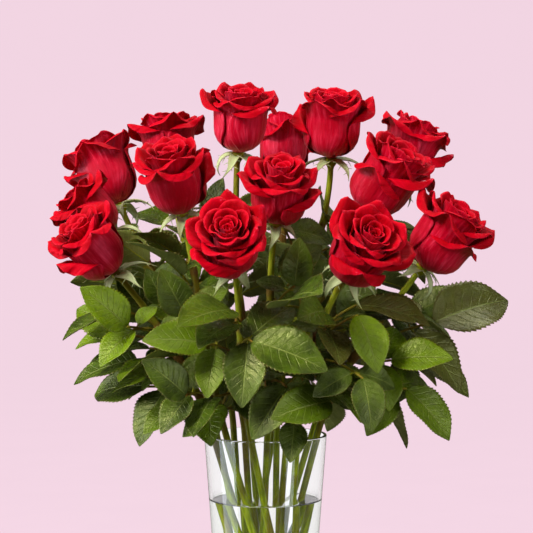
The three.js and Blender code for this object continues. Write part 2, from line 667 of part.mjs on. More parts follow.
// A petal's blade, thickest in the middle and thin at its edges.
function petalBlade(petal, across, up) {
  const step = 0.02;
  const points = [];
  const faces = [];
  const sheet = (side) => up.map((v, j) => across.map((share, i) => {
    const edge = i === 0 || i === across.length - 1 || j === 0 || j === up.length - 1;
    const u = j === up.length - 1 && Math.abs(share) < 1 ? share * TIP_NARROWING : share;
    if (edge && side < 0) return null;
    const point = petalPoint(petal, u, v);
    if (!edge) {
      const alongU = petalPoint(petal, u + step, v).sub(petalPoint(petal, u - step, v));
      const alongV = petalPoint(petal, u, v + step).sub(petalPoint(petal, u, v - step));
      point.addScaledVector(alongU.cross(alongV).normalize(), side * PETAL_THICKNESS / 2);
    }
    return points.push(point) - 1;
  }));
  const outer = sheet(1);
  const inner = sheet(-1).map((row, j) => row.map((index, i) => index ?? outer[j][i]));
  for (let j = 0; j + 1 < up.length; j++) {
    for (let i = 0; i + 1 < across.length; i++) {
      const left = i < (across.length - 1) / 2;
      for (const [grid, flip] of [[outer, false], [inner, true]]) {
        const [a, b, c, d] = [grid[j][i], grid[j][i + 1], grid[j + 1][i + 1], grid[j + 1][i]];
        const pair = left ? [[a, b, d], [b, c, d]] : [[a, b, c], [a, c, d]];
        pair.forEach(([p, q, r]) => faces.push(flip ? [p, r, q] : [p, q, r]));
      }
    }
  }
  return solid(points, faces);
}

function bloom(rose) {
  const size = rose.size;
  const heart = [[0, 5.2], [3, 16.5], [12, 23.6], [14, 12.8], [45, 12], [55, 0]];
  const core = tube(
    heart.map(([z]) => new THREE.Vector3(0, 0, z * (z > 0 ? size : 1))),
    heart.map(([z, radius]) => radius * (z > 0 ? size : 1)),
    CORE_SIDES,
  );
  const petals = MODELLED_PETALS.map((index) => {
    const up = index >= FLARED_FROM ? [0.24, 0.62, 0.84, 1] : [0.26, 0.62, 1];
    return petalBlade(petalForm(rose, index), [-1, -0.35, 0.35, 1], up);
  });
  return geometryOfSolid(largest(joined([core, ...petals])));
}

// ---------------------------------------------------------------- the bouquet
const plain = (color, roughness) => new THREE.MeshStandardMaterial({ color, roughness, metalness: 0 });
const clear = (color, roughness, opacity) => (
  new THREE.MeshStandardMaterial({ color, roughness, metalness: 0, transparent: true, opacity }));
const materials = {
  petal: plain(COLOURS.petal, 0.55),
  leaf: plain(COLOURS.leaf, 0.5),
  glass: clear(COLOURS.glass, 0.03, 0.3),
  water: clear(COLOURS.water, 0.02, 0.35),
};

function named(name, geometry, material) {
  const mesh = new THREE.Mesh(geometry, material);
  mesh.name = name;
  return mesh;
}

// Where every leaf goes, by rose: those of the front first, then the sides' and back's by rule.
function growLeaves(lines) {
  const thicket = new Thicket();
  for (const [name, line] of Object.entries(lines)) {
    const rose = ROSES[name];
    const base = vector(rose.base);
    const along = Array.from({ length: 41 }, (_, i) => line.curve.getPoint(i / 40));
    thicket.add(name, along, STEM_RADIUS);
    thicket.add('bloom', [base.clone().addScaledVector(line.axis, 33 * rose.size)], 36 * rose.size);
    thicket.add('bloom', [base.clone().addScaledVector(line.axis, -12)], 24);
  }
  const leaves = Object.fromEntries(Object.keys(lines).map((name) => [name, []]));
  const grow = (name, start, foot, tip, count, frontal) => {
    const leaf = placeLeaf(thicket, name, start, foot, tip, count, frontal);
    if (!leaf) return;
    leaf.leaflets.forEach((one) => thicket.add(name, leafSamples(one), LEAF_MARGIN));
    thicket.add(name, stalkSamples(leaf), STALK_MARGIN);
    leaves[name].push(leaf);
  };
  FRONT_LEAVES.forEach(({ rose, from, foot, tip, leaflets }) => {
    grow(rose, stemAt(lines[rose], from), vector(foot), vector(tip), leaflets, FRONT_FACING);
  });
  const draw = drawer(41);
  FILL_HEIGHTS.forEach((height) => Object.entries(lines).forEach(([name, line]) => {
    const start = stemAt(line, Math.min(height, ROSES[name].base[2] - 55));
    const bearing = Math.atan2(start.y, start.x) + 1.5 * (draw() - 0.5);
    const out = new THREE.Vector3(Math.cos(bearing), Math.sin(bearing), 0);
    const aside = new THREE.Vector3(-out.y, out.x, 0);
    const stalk = 26 + 18 * draw();
    const blade = SHORTEST_FILL + 16 * draw();
    const foot = start.clone().addScaledVector(out, stalk);
    foot.z += stalk * (0.3 + 0.5 * draw());
    const way = out.clone().multiplyScalar(0.8).addScaledVector(aside, 1.1 * (draw() - 0.5));
    way.z = 0.25 - 0.75 * draw();
    const tip = foot.clone().addScaledVector(way.normalize(), blade);
    const placed = Object.values(leaves).reduce((sum, list) => sum + list.length, 0);
    if (placed < LEAVES_MOST) grow(name, start, foot, tip, 3, 0);
  }));
  return leaves;
}

const bouquet = new THREE.Group();
const lines = Object.fromEntries(Object.entries(ROSES).map(([name, rose]) => [name, stemLine(rose)]));
const leaves = growLeaves(lines);

bouquet.add(named('vase', vase(), materials.glass));
bouquet.add(named('water', water(Object.values(lines)), materials.water));
for (const [name, rose] of Object.entries(ROSES)) {
  const line = lines[name];
  const green = joined([stemSolid(rose, line), ...leaves[name].map(leafSolid)]);
  bouquet.add(named('stem_' + name, geometryOfSolid(largest(green)), materials.leaf));
  const head = named('bloom_' + name, bloom(rose), materials.petal);
  head.position.fromArray(rose.base);
  head.quaternion.setFromUnitVectors(new THREE.Vector3(0, 0, 1), line.axis);
  bouquet.add(head);
}

export default bouquet;
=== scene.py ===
# Fourteen long-stemmed red roses in a tapered clear glass vase part-filled with water.
# The shapes are worked out in millimetres, as in the part's source, and made in metres.
import math
from collections import namedtuple
from itertools import product
from math import pi, radians
from types import SimpleNamespace as Record

import bpy
import numpy as np
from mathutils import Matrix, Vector
from numpy.linalg import norm


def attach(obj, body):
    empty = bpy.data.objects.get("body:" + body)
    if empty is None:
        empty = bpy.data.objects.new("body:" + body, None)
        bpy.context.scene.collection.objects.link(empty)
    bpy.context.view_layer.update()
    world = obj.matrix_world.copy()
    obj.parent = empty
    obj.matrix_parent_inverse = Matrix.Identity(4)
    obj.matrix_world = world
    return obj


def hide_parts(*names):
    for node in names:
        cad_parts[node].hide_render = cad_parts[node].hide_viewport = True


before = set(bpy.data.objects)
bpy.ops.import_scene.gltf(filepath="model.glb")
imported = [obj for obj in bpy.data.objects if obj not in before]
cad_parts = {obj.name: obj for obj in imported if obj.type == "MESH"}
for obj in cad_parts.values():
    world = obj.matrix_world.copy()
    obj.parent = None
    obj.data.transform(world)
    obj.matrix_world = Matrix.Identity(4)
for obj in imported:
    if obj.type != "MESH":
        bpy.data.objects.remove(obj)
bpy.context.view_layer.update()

# ---------- driving dimensions, as in the part
VASE_HEIGHT = 225
VASE_RIM_RADIUS = 57.8
VASE_FOOT_RADIUS = 41
GLASS_WALL = 3
GLASS_BASE = 10
BORE_CORNER = 5
WATER_LEVEL = 165
FIT = 0.3

STEM_RADIUS = 3.1
STEM_FOOT_LIFT = 0.9
HIP_LENGTH = 12
# The stems stand in two rings, which turn opposite ways round the vase from rim to foot.
RINGS = {"outer": {"rim": 50, "foot": 29, "twist": 110}, "inner": {"rim": 21, "foot": 8, "twist": -60}}

PETAL_COUNT = 26
OUTER_FROM = 20
GUARD_FROM = 25
GOLDEN_ANGLE = 137.5

# Each rose: where its bloom sits on the stem, the way the bloom faces, its size, how open it is and its spin,
# then the ring and bearing at which its stem crosses the rim.
Rose = namedtuple("Rose", "base faces size open spin ring rim_at")
ROSES = {
    "front_left": Rose((-28, -93, 388), (-0.08, -0.78, 0.62), 1.03, 1.0, 26, "outer", 255),
    "front_right": Rose((74, -83, 381), (0.36, -0.7, 0.62), 1.09, 1.0, 75, "outer", 305),
    "centre": Rose((9, -60, 426), (0.1, -0.48, 0.87), 1.0, 1.1, 140, "inner", 275),
    "left_middle": Rose((-76, -55, 435), (-0.18, -0.42, 0.89), 1.06, 0.8, 200, "outer", 225),
    "top_left": Rose((-26, 5, 491), (0.06, -0.3, 0.95), 1.02, 1.0, 250, "inner", 131),
    "top_right": Rose((62, 13, 486), (0.03, -0.27, 0.96), 1.06, 0.6, 310, "inner", 59),
    "right_middle": Rose((94, -10, 436), (0.52, -0.34, 0.78), 1.14, 0.8, 40, "inner", 347),
    "far_right": Rose((144, -42, 385), (0.55, -0.28, 0.79), 1.1, 0.9, 100, "outer", 345),
    "top_far_right": Rose((128, 68, 466), (0.42, -0.05, 0.91), 1.05, 1.2, 160, "outer", 25),
    "back_centre": Rose((17, 100, 468), (0.02, 0.12, 0.99), 0.98, 0.5, 220, "outer", 80),
    "back_left": Rose((-93, 91, 469), (-0.12, 0.15, 0.98), 1.0, 1.2, 280, "outer", 128),
    "upper_left": Rose((-142, 60, 442), (-0.4, 0.24, 0.88), 1.1, 0.8, 340, "outer", 160),
    "far_left": Rose((-137, -57, 381), (-0.58, -0.34, 0.74), 1.0, 1.0, 10, "outer", 195),
    "left_behind": Rose((-146, 13, 415), (-0.7, -0.03, 0.72), 0.93, 1.0, 60, "inner", 203),
}

# The leaves that show from the front: the stem and the height they grow from, the foot and the tip of the end
# leaflet, how many leaflets the leaf has, and its age from 1, young and yellow-green, to 0, dry and olive.
FRONT_LEAVES = [
    ("front_left", 312, (-12, -122, 322), (54, -137, 297), 3, 0.3),
    ("front_right", 300, (85, -125, 290), (92, -137, 244), 3, 0.35),
    ("front_right", 335, (72, -112, 352), (150, -132, 366), 1, 0.25),
    ("far_right", 300, (138, -72, 332), (222, -84, 350), 3, 0.03),
    ("far_right", 272, (98, -92, 302), (149, -115, 304), 3, 0.75),
    ("right_middle", 285, (146, -20, 295), (190, -28, 259), 3, 0.1),
    ("front_right", 262, (58, -95, 266), (5, -125, 254), 1, 0.7),
    ("centre", 262, (26, -78, 246), (22, -98, 212), 1, 0.4),
    ("front_left", 250, (-41, -75, 256), (-2, -102, 226), 3, 0.75),
    ("left_middle", 262, (-83, -92, 272), (-124, -104, 305), 3, 0.5),
    ("far_left", 262, (-84, -58, 272), (-150, -75, 260), 3, 0.5),
    ("far_left", 312, (-124, -84, 332), (-164, -100, 368), 3, 0.95),
    ("left_middle", 292, (-93, -100, 322), (-150, -120, 343), 1, 0.9),
    ("left_middle", 325, (-72, -75, 342), (-94, -88, 384), 3, 0.6),
    ("upper_left", 345, (-80, -10, 372), (-140, 2, 420), 3, 0.3),
    ("top_right", 365, (56, -50, 398), (50, -42, 462), 3, 0.3),
    ("top_left", 385, (-45, -8, 430), (-30, 0, 472), 3, 0.35),
    ("centre", 340, (-3, -76, 368), (-5, -86, 412), 3, 0.5),
    ("centre", 296, (35, -90, 326), (58, -98, 380), 1, 0.3),
    ("right_middle", 330, (96, -62, 372), (112, -96, 415), 3, 0.3),
    ("front_left", 300, (-52, -100, 318), (-108, -116, 322), 3, 0.8),
    ("front_right", 312, (60, -116, 330), (66, -128, 276), 1, 0.9),
    ("far_right", 258, (112, -78, 292), (154, -98, 254), 3, 0.75),
    ("top_left", 335, (-55, -45, 370), (-76, -56, 416), 3, 0.4),
    ("left_middle", 250, (-70, -84, 266), (-16, -112, 280), 3, 0.4),
    ("left_middle", 355, (-84, -72, 352), (-98, -84, 384), 1, 0.3),
    ("centre", 275, (18, -92, 294), (-10, -112, 250), 3, 0.5),
    ("far_left", 245, (-72, -52, 256), (-100, -70, 232), 1, 0.8),
    ("top_far_right", 300, (136, -28, 312), (170, -40, 330), 3, 0.1),
    ("top_right", 290, (80, -60, 318), (40, -86, 352), 3, 0.4),
]

# The other leaves grow at these heights all round, on every stem that has room for one.
FILL_HEIGHTS = [300, 345, 262, 385]
LEAVES_MOST = 53

# Smaller leaves then close the gaps between those.
SMALL_HEIGHTS = [390, 420, 362, 322, 282, 340, 405, 300, 268, 376, 310]
SMALL_LEAVES_MOST = 96
SMALL_LEAF_MARGIN = 1.8

VEINS_PER_SIDE = 9
LEAF_WIDTH = 0.33
LEAF_CURL = 0.55
LEAF_FOLD = 0.26
SIDE_SIZES = [(0.82, 0.31), (0.7, 0.1), (0.6, 0.31), (0.5, 0)]
FRONT_FACING = 0.6
LEAF_MARGIN = 3.6
STALK_MARGIN = 2.4
GLASS_MARGIN = 5
# A leaf may come near its own stem and its earlier leaves within this reach of its start.
OWN_REACH = 16
# How far below its bloom's base a stem bears its highest leaf.
BARE_UNDER_BLOOM = 55
# The balls that keep leaves out of a bloom: how far above its base each lies, and its radius.
HEAD_BALL = (33, 36)
HIP_BALL = (-12, 24)
TURNS = [0, 12, -12, 24, -24, 38, -38, 54, -54]
TILTS = [0, 12, -12, 24, -24, 36]

UP = np.array([0.0, 0.0, 1.0])
FRONT = np.array([0.0, -1.0, 0.0])
MM_PER_METRE = 1000
# A tube's ends close to rings of this share of its radius.
CAP_SHARE = 0.02


# ---------- small helpers
def vec(*numbers):
    return np.array(numbers, float)


def unit(v):
    return v / norm(v)


def units(array):
    return array / np.maximum(norm(array, axis=-1, keepdims=True), 1e-9)


def smooth(x):
    t = np.clip(x, 0, 1)
    return t * t * (3 - 2 * t)


def drawer(seed):
    """A seeded draw from 0 to 1, so that the bouquet is the same each time."""
    state = seed

    def draw():
        nonlocal state
        state = (state * 1664525 + 1013904223) % 4294967296
        return state / 4294967296

    return draw


def turned(points, axis, angle):
    """The points turned about an axis through the origin."""
    axis = unit(axis)
    c, s = math.cos(angle), math.sin(angle)
    return points * c + np.cross(axis, points) * s + axis * (points @ axis)[..., None] * (1 - c)


def bezier(points, t):
    """Points of a quadratic or cubic curve, with their tangents."""
    t = np.asarray(t, float)[..., None]
    n = len(points) - 1
    weights = [math.comb(n, k) * t**k * (1 - t) ** (n - k) for k in range(n + 1)]
    slopes = [math.comb(n - 1, k) * t**k * (1 - t) ** (n - 1 - k) for k in range(n)]
    at = sum(w * p for w, p in zip(weights, points))
    along = sum(w * (b - a) for w, a, b in zip(slopes, points[:-1], points[1:]))
    return at, units(along)


def ring_quads(rings, sides):
    """The four-sided faces between closed rings of points that follow one another."""
    grid = np.arange(rings * sides).reshape(rings, sides)
    beside = np.roll(grid, -1, axis=1)
    return np.stack([grid[:-1], beside[:-1], beside[1:], grid[1:]], -1).reshape(-1, 4)


def turned_rings(radius, height, sides):
    """A closed ring of points about the vase's axis for each radius and height."""
    angles = np.linspace(0, 2 * pi, sides, endpoint=False)
    x, y = np.outer(radius, np.cos(angles)), np.outer(radius, np.sin(angles))
    return np.stack([x, y, np.broadcast_to(np.asarray(height)[:, None], x.shape)], -1)


class Builder:
    """Gathers sheets and tubes into one mesh, with a UV place, a tone and a material for each face."""

    def __init__(self):
        self.points, self.uvs, self.tones, self.faces, self.slots = [], [], [], [], []
        self.count = 0

    def add(self, points, uvs, tone, faces, slots):
        points = np.asarray(points, float).reshape(-1, 3)
        self.points.append(points)
        self.uvs.append(np.asarray(uvs, float).reshape(-1, 2))
        self.tones.append(np.full(len(points), tone) if np.isscalar(tone) else np.ravel(tone))
        self.faces.append(np.asarray(faces) + self.count)
        self.slots.append(np.full(len(faces), slots) if np.isscalar(slots) else np.asarray(slots))
        self.count += len(points)

    def sheet(self, places, thickness, uvs, tone, upper, lower=None):
        """A closed thin sheet over a grid of points. Its upper side is on the grid's left-handed side."""
        rows, columns = places.shape[:2]
        along = np.gradient(places, axis=0)
        across = np.gradient(places, axis=1)
        normals = units(np.cross(across, along))
        offset = normals * (np.asarray(thickness)[..., None] / 2)
        grid = np.arange(rows * columns).reshape(rows, columns)
        quads = np.stack([grid[:-1, :-1], grid[:-1, 1:], grid[1:, 1:], grid[1:, :-1]], -1).reshape(-1, 4)
        under = rows * columns
        border = np.concatenate([grid[0, :], grid[1:, -1], grid[-1, -2::-1], grid[-2:0:-1, 0]])
        following = np.roll(border, -1)
        rim = np.stack([following, border, border + under, following + under], -1)
        faces = np.concatenate([quads, quads[:, ::-1] + under, rim])
        lower = upper if lower is None else lower
        slots = np.repeat([upper, lower, upper], [len(quads), len(quads), len(rim)])
        flat_uvs = np.asarray(uvs).reshape(-1, 2)
        self.add(
            np.concatenate([(places + offset).reshape(-1, 3), (places - offset).reshape(-1, 3)]),
            np.concatenate([flat_uvs, flat_uvs]), tone, faces, slots,
        )

    def tube(self, path, radii, sides, tone, slot, flat=1.0, up=None):
        """A round tube along a path, closed at both ends by small rings."""
        path = np.asarray(path, float)
        radii = np.asarray(radii, float)
        tangents = units(np.gradient(path, axis=0))
        side = vec(1, 0, 0) if up is None else np.cross(tangents[0], up)
        if abs(side @ tangents[0]) > 0.7 * norm(side):
            side = vec(0, 0, 1)
        angles = np.linspace(0, 2 * pi, sides, endpoint=False)
        steps = norm(np.diff(path, axis=0), axis=1)
        lengths = np.concatenate([[0], np.cumsum(steps)])
        rings = []
        for point, tangent, radius in zip(path, tangents, radii):
            side = unit(side - tangent * (side @ tangent))
            other = np.cross(tangent, side)
            ring = np.cos(angles)[:, None] * side + flat * np.sin(angles)[:, None] * other
            rings.append(point + radius * ring)
        first = path[0] + (rings[0] - path[0]) * CAP_SHARE
        last = path[-1] + (rings[-1] - path[-1]) * CAP_SHARE
        rings = np.array([first, *rings, last])
        lengths = np.concatenate([[lengths[0]], lengths, [lengths[-1]]])
        uvs = np.stack(np.broadcast_arrays(angles[None] / (2 * pi), lengths[:, None] / 100), -1)
        self.add(rings, uvs, tone, ring_quads(len(rings), sides), slot)

    def object(self, name, materials):
        points = np.concatenate(self.points) / MM_PER_METRE
        faces = np.concatenate(self.faces)
        mesh = bpy.data.meshes.new(name)
        mesh.vertices.add(len(points))
        mesh.vertices.foreach_set("co", points.ravel())
        mesh.loops.add(faces.size)
        mesh.loops.foreach_set("vertex_index", faces.ravel().astype(np.int32))
        mesh.polygons.add(len(faces))
        mesh.polygons.foreach_set("loop_start", np.arange(0, faces.size, 4, dtype=np.int32))
        mesh.polygons.foreach_set("material_index", np.concatenate(self.slots).astype(np.int32))
        mesh.polygons.foreach_set("use_smooth", np.full(len(faces), True))
        layer = mesh.uv_layers.new(name="UVMap")
        layer.data.foreach_set("uv", np.concatenate(self.uvs)[faces.ravel()].ravel())
        tone = mesh.attributes.new("tone", "FLOAT", "POINT")
        tone.data.foreach_set("value", np.concatenate(self.tones))
        for material in materials:
            mesh.materials.append(material)
        mesh.update(calc_edges=True)
        mesh.validate()
        made = bpy.data.objects.new(name, mesh)
        bpy.context.scene.collection.objects.link(made)
        return made


def hide_from(thing, *rays):
    """The thing isn't met by rays of these kinds."""
    for ray in rays:
        setattr(thing, "visible_" + ray, False)


def finish_piece(piece, slot, *nodes):
    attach(piece, "root")
    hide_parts(*nodes)


# ---------- materials
class Nodes:
    """Short calls for building a material's node tree."""

    def __init__(self, name):
        self.material = bpy.data.materials.new(name)
        self.material.use_nodes = True
        self.tree = self.material.node_tree
        self.shader = self.tree.nodes["Principled BSDF"]

    def new(self, kind, inputs=None, **settings):
        node = self.tree.nodes.new(kind)
        for key, value in settings.items():
            setattr(node, key, value)
        for key, value in (inputs or {}).items():
            self.put(node.inputs[key], value)
        return node

    def put(self, socket, value):
        if isinstance(value, bpy.types.NodeSocket):
            self.tree.links.new(value, socket)
        elif socket.type == "RGBA":
            socket.default_value = (*value, 1)
        else:
            socket.default_value = value

    def math(self, operation, a, b=0.0):
        return self.new("ShaderNodeMath", {0: a, 1: b}, operation=operation).outputs[0]

    def product(self, a, b):
        return self.math("MULTIPLY", a, b)

    def absolute(self, a):
        return self.math("ABSOLUTE", a)

    def span(self, value, low, high, to_low=0.0, to_high=1.0):
        """The value's way from low to high, eased and clamped, as a number from to_low to to_high."""
        node = self.new("ShaderNodeMapRange", {0: value, 1: low, 2: high, 3: to_low, 4: to_high},
                        interpolation_type="SMOOTHSTEP")
        return node.outputs[0]

    def mix(self, share, a, b):
        node = self.new("ShaderNodeMix", data_type="RGBA")
        self.put(node.inputs[0], share)
        self.put(node.inputs[6], a)
        self.put(node.inputs[7], b)
        return node.outputs[2]

    def tint(self, base, colour, value, low, high, most=1.0):
        """The base, on its way to the colour by up to the most share as the value goes from low to high."""
        return self.mix(self.span(value, low, high, 0.0, most), base, colour)

    def noise(self, place, scale, detail=3.0, rough=0.55):
        inputs = {"Vector": place, "Scale": scale, "Detail": detail, "Roughness": rough}
        return self.new("ShaderNodeTexNoise", inputs).outputs["Fac"]

    def uv(self):
        node = self.new("ShaderNodeUVMap", uv_map="UVMap")
        split = self.new("ShaderNodeSeparateXYZ", {0: node.outputs[0]})
        return node.outputs[0], split.outputs[0], split.outputs[1]

    def place(self):
        return self.new("ShaderNodeTexCoord").outputs["Object"]

    def tone(self):
        return self.new("ShaderNodeAttribute", attribute_name="tone").outputs["Fac"]

    def stretched(self, place, x, y, z=1.0):
        return self.new("ShaderNodeMapping", {"Vector": place, "Scale": (x, y, z)}).outputs[0]

    def streaks(self, uv, x, y, detail=3.0, rough=0.55):
        """Noise stretched to about x patches across the face and y along it."""
        return self.noise(self.stretched(uv, x, y), 1.0, detail, rough)

    def bump(self, height, distance, strength=1.0, under=None):
        inputs = {"Height": height, "Distance": distance, "Strength": strength}
        if under is not None:
            inputs["Normal"] = under
        return self.new("ShaderNodeBump", inputs).outputs[0]

    def surface(self, **inputs):
        """Sets the shader's inputs, whose names have underscores here, and gives the material."""
        for key, value in inputs.items():
            self.put(self.shader.inputs[key.replace("_", " ")], value)
        return self.material


def petal_material(name, deep, bright, pale, streak_and_highlight_share, rough, specular, sheen):
    """A petal's face: clouded and veined from foot to lip, with pale patches that are partly its lighter
    streaks and partly painted highlights, and a painted highlight along its lip.
    """
    m = Nodes(name)
    uv, _, up = m.uv()
    tone = m.tone()
    streaks = m.streaks(uv, 9, 2, 5.0, 0.6)
    cloud = m.noise(m.place(), 38.0, 3.0)
    base = m.tint(deep, bright, cloud, 0.33, 0.66)
    base = m.tint(base, tuple(0.6 * x for x in deep), tone, 0.0, 1.0, 0.25)
    # Pale patches where streaks and clouds meet: partly the petal's lighter streaks, partly painted
    # highlights.
    streak_and_highlight_patch = m.product(m.span(streaks, 0.42, 0.72), m.span(cloud, 0.38, 0.68, 0.1, 1.0))
    base = m.mix(m.product(streak_and_highlight_patch, streak_and_highlight_share), base, pale)
    base = m.tint(base, tuple(0.55 * x for x in deep), streaks, 0.45, 0.28, 0.3)
    foot = m.span(up, 0.2, 0.0)
    base = m.mix(m.product(foot, 0.4), base, (0.42, 0.09, 0.03))
    # A painted highlight along the lip: the petal is mixed towards a lighter red at its very edge.
    rim = m.span(m.math("ADD", up, m.product(streaks, 0.03)), 0.975, 1.01)
    base = m.mix(m.product(rim, 0.35), base, (0.85, 0.01, 0.04))
    fine = m.streaks(uv, 50, 7, 3.0, 0.6)
    soft = m.noise(m.place(), 420.0, 2.0)
    folds = m.streaks(uv, 5, 1.4)
    bump = m.bump(folds, 0.003, 0.5)
    bump = m.bump(fine, 0.0004, 0.3, bump)
    bump = m.bump(soft, 0.0003, 0.2, bump)
    return m.surface(
        Base_Color=base, Roughness=m.span(streaks, 0.3, 0.7, rough + 0.05, rough - 0.05), Normal=bump,
        Specular_IOR_Level=specular, Specular_Tint=(1.0, 0.2, 0.35),
        Sheen_Weight=sheen, Sheen_Roughness=0.35, Sheen_Tint=(1.0, 0.16, 0.28),
        Subsurface_Weight=0.08, Subsurface_Radius=(1.0, 0.05, 0.06), Subsurface_Scale=0.002,
    )


def leaf_veins(m, uv, across, along):
    """1 on the midrib and side veins, 0 between them."""
    wide = m.absolute(across)
    rib = m.span(wide, 0.06, 0.012)
    drift = m.product(m.streaks(uv, 1.2, 3, 1.0), 0.09)
    slant = m.math("SUBTRACT", m.math("ADD", along, drift), m.product(wide, 0.2))
    wave = m.math("FRACT", m.product(slant, VEINS_PER_SIDE))
    near = m.absolute(m.math("SUBTRACT", wave, 0.5))
    side = m.product(m.span(near, 0.13, 0.0), m.span(wide, 1.0, 0.3))
    return rib, side


def leaf_material(name, dark, light, young, dry, vein, rough, specular, relief):
    """A leaf's face. Its tone runs from dry through plain to young."""
    m = Nodes(name)
    uv, across, along = m.uv()
    tone = m.tone()
    rib, side = leaf_veins(m, uv, across, along)
    cloud = m.noise(m.place(), 60.0, 3.0)
    patches = m.streaks(uv, 3, 6, 4.0, 0.6)
    net = m.new("ShaderNodeTexVoronoi", {"Vector": m.stretched(uv, 14, 30), "Scale": 1.0},
                feature="DISTANCE_TO_EDGE").outputs["Distance"]
    mesh = m.span(net, 0.12, 0.0)
    base = m.tint(dark, light, cloud, 0.35, 0.65)
    base = m.tint(base, young, tone, 0.5, 0.95, 0.9)
    base = m.tint(base, dry, tone, 0.2, 0.0, 0.6)
    base = m.tint(base, tuple(0.6 * x for x in dark), patches, 0.45, 0.7, 0.45)
    base = m.mix(m.product(mesh, 0.12), base, vein)
    base = m.mix(m.product(side, 0.3), base, vein)
    base = m.mix(m.product(rib, 0.8), base, vein)
    edge = m.span(m.absolute(across), 0.94, 1.0)
    base = m.mix(m.product(edge, 0.4), base, (0.16, 0.07, 0.02))
    quilt = m.math("SUBTRACT", 1.0, m.math("MAXIMUM", m.product(side, 0.8), rib))
    bump = m.bump(quilt, relief, 0.55)
    bump = m.bump(m.streaks(uv, 7, 20), 0.0014, 0.35, bump)
    bump = m.bump(mesh, -0.15 * relief, 0.5, bump)
    return m.surface(
        Base_Color=base, Roughness=m.span(patches, 0.3, 0.7, rough - 0.05, rough + 0.08), Normal=bump,
        Specular_IOR_Level=specular, Specular_Tint=(1.0, 1.0, 0.45),
        Subsurface_Weight=0.05, Subsurface_Radius=(0.3, 0.6, 0.1), Subsurface_Scale=0.002,
    )


def stem_material():
    m = Nodes("rose_stem")
    uv, _, _ = m.uv()
    tone = m.tone()
    streaks = m.streaks(uv, 9, 5, 4.0, 0.6)
    base = m.tint((0.20, 0.26, 0.008), (0.42, 0.44, 0.028), streaks, 0.35, 0.65)
    height = m.new("ShaderNodeSeparateXYZ", {0: m.place()}).outputs[2]
    # Below about the vase's rim the stem changes to a greener colour, darker in its darker streaks.
    below_rim_colour = m.tint((0.14, 0.20, 0.0), (0.36, 0.46, 0.003), streaks, 0.35, 0.65)
    base = m.tint(base, below_rim_colour, height, 0.30, 0.22)
    woody = m.noise(m.stretched(m.place(), 1.0, 1.0, 0.2), 34.0, 1.0)
    base = m.tint(base, (0.16, 0.11, 0.008), woody, 0.46, 0.6, 0.8)
    base = m.tint(base, (0.12, 0.055, 0.01), m.noise(m.place(), 30.0), 0.5, 0.7, 0.6)
    base = m.tint(base, (0.16, 0.045, 0.018), tone, 0.0, 1.0, 0.85)
    lenticels = m.streaks(uv, 26, 60, 1.0)
    base = m.tint(base, (0.33, 0.30, 0.12), lenticels, 0.68, 0.74, 0.4)
    bump = m.bump(m.streaks(uv, 30, 6), 0.0006, 0.35)
    return m.surface(
        Base_Color=base, Roughness=m.span(streaks, 0.3, 0.7, 0.38, 0.52), Normal=bump,
        Specular_IOR_Level=0.2, Specular_Tint=(1.0, 1.0, 0.5),
        Subsurface_Weight=0.05, Subsurface_Scale=0.002,
    )


def sepal_material():
    m = Nodes("rose_sepal")
    uv, across, along = m.uv()
    streaks = m.streaks(uv, 14, 3)
    base = m.tint((0.34, 0.42, 0.16), (0.55, 0.62, 0.34), streaks, 0.35, 0.65)
    base = m.tint(base, (0.18, 0.25, 0.03), along, 0.6, 1.0, 0.6)
    base = m.tint(base, (0.30, 0.16, 0.10), m.absolute(across), 0.75, 1.0, 0.4)
    bump = m.bump(streaks, 0.0006, 0.5)
    return m.surface(Base_Color=base, Roughness=m.span(streaks, 0.3, 0.7, 0.5, 0.62), Normal=bump)


GLASS_IOR = 1.48
WATER_IOR = 1.333


def clear_surface(m, ripple, colour, mirror, ior):
    """Clear and faintly rippled. Its face-on reflections are the mirror share of full ones."""
    return m.surface(
        Normal=m.bump(ripple, 0.0003, 0.2), Roughness=m.span(ripple, 0.3, 0.7, 0.0, 0.003),
        Base_Color=colour, Specular_Tint=(mirror, mirror, mirror), Transmission_Weight=1.0, IOR=ior,
    )


def glass_material(name, mirror):
    m = Nodes(name)
    ripple = m.noise(m.stretched(m.place(), 1.0, 1.0, 0.35), 22.0, 1.0)
    return clear_surface(m, ripple, (0.97, 1.0, 0.985), mirror, GLASS_IOR)


def water_material():
    m = Nodes("clear_water")
    ripple = m.noise(m.place(), 30.0, 1.0)
    return clear_surface(m, ripple, (0.97, 0.99, 0.965), 0.3, WATER_IOR)


REDS = [
    petal_material(
        "petal_inner", (0.42, 0.0, 0.004), (0.58, 0.0, 0.010), (0.72, 0.0, 0.020), 0.5, 0.6, 0.12, 0.05),
    petal_material(
        "petal_outer", (0.44, 0.0, 0.010), (0.60, 0.0, 0.022), (0.90, 0.05, 0.12), 0.9, 0.4, 0.45, 0.35),
]
VELVET, SATIN = range(2)
GREENS = [
    leaf_material(
        "leaf_upper", (0.024, 0.046, 0.004), (0.070, 0.118, 0.006), (0.15, 0.25, 0.0), (0.115, 0.090, 0.020),
        (0.19, 0.24, 0.05), 0.28, 0.5, 0.0010),
    leaf_material(
        "leaf_lower", (0.15, 0.18, 0.045), (0.22, 0.26, 0.07), (0.24, 0.31, 0.05), (0.20, 0.17, 0.07),
        (0.34, 0.38, 0.14), 0.6, 0.25, -0.0010),
    stem_material(),
    sepal_material(),
]
LEAF, LEAF_UNDER, STEM, SEPAL = range(4)
GLASS = [glass_material("clear_glass", 1.0), glass_material("clear_glass_bore", 0.15)]
WATER = [water_material()]


# ---------- vase and water
def vase_radius(z):
    return VASE_FOOT_RADIUS + (VASE_RIM_RADIUS - VASE_FOOT_RADIUS) * z / VASE_HEIGHT


def bore_radius(z):
    return vase_radius(z) - GLASS_WALL


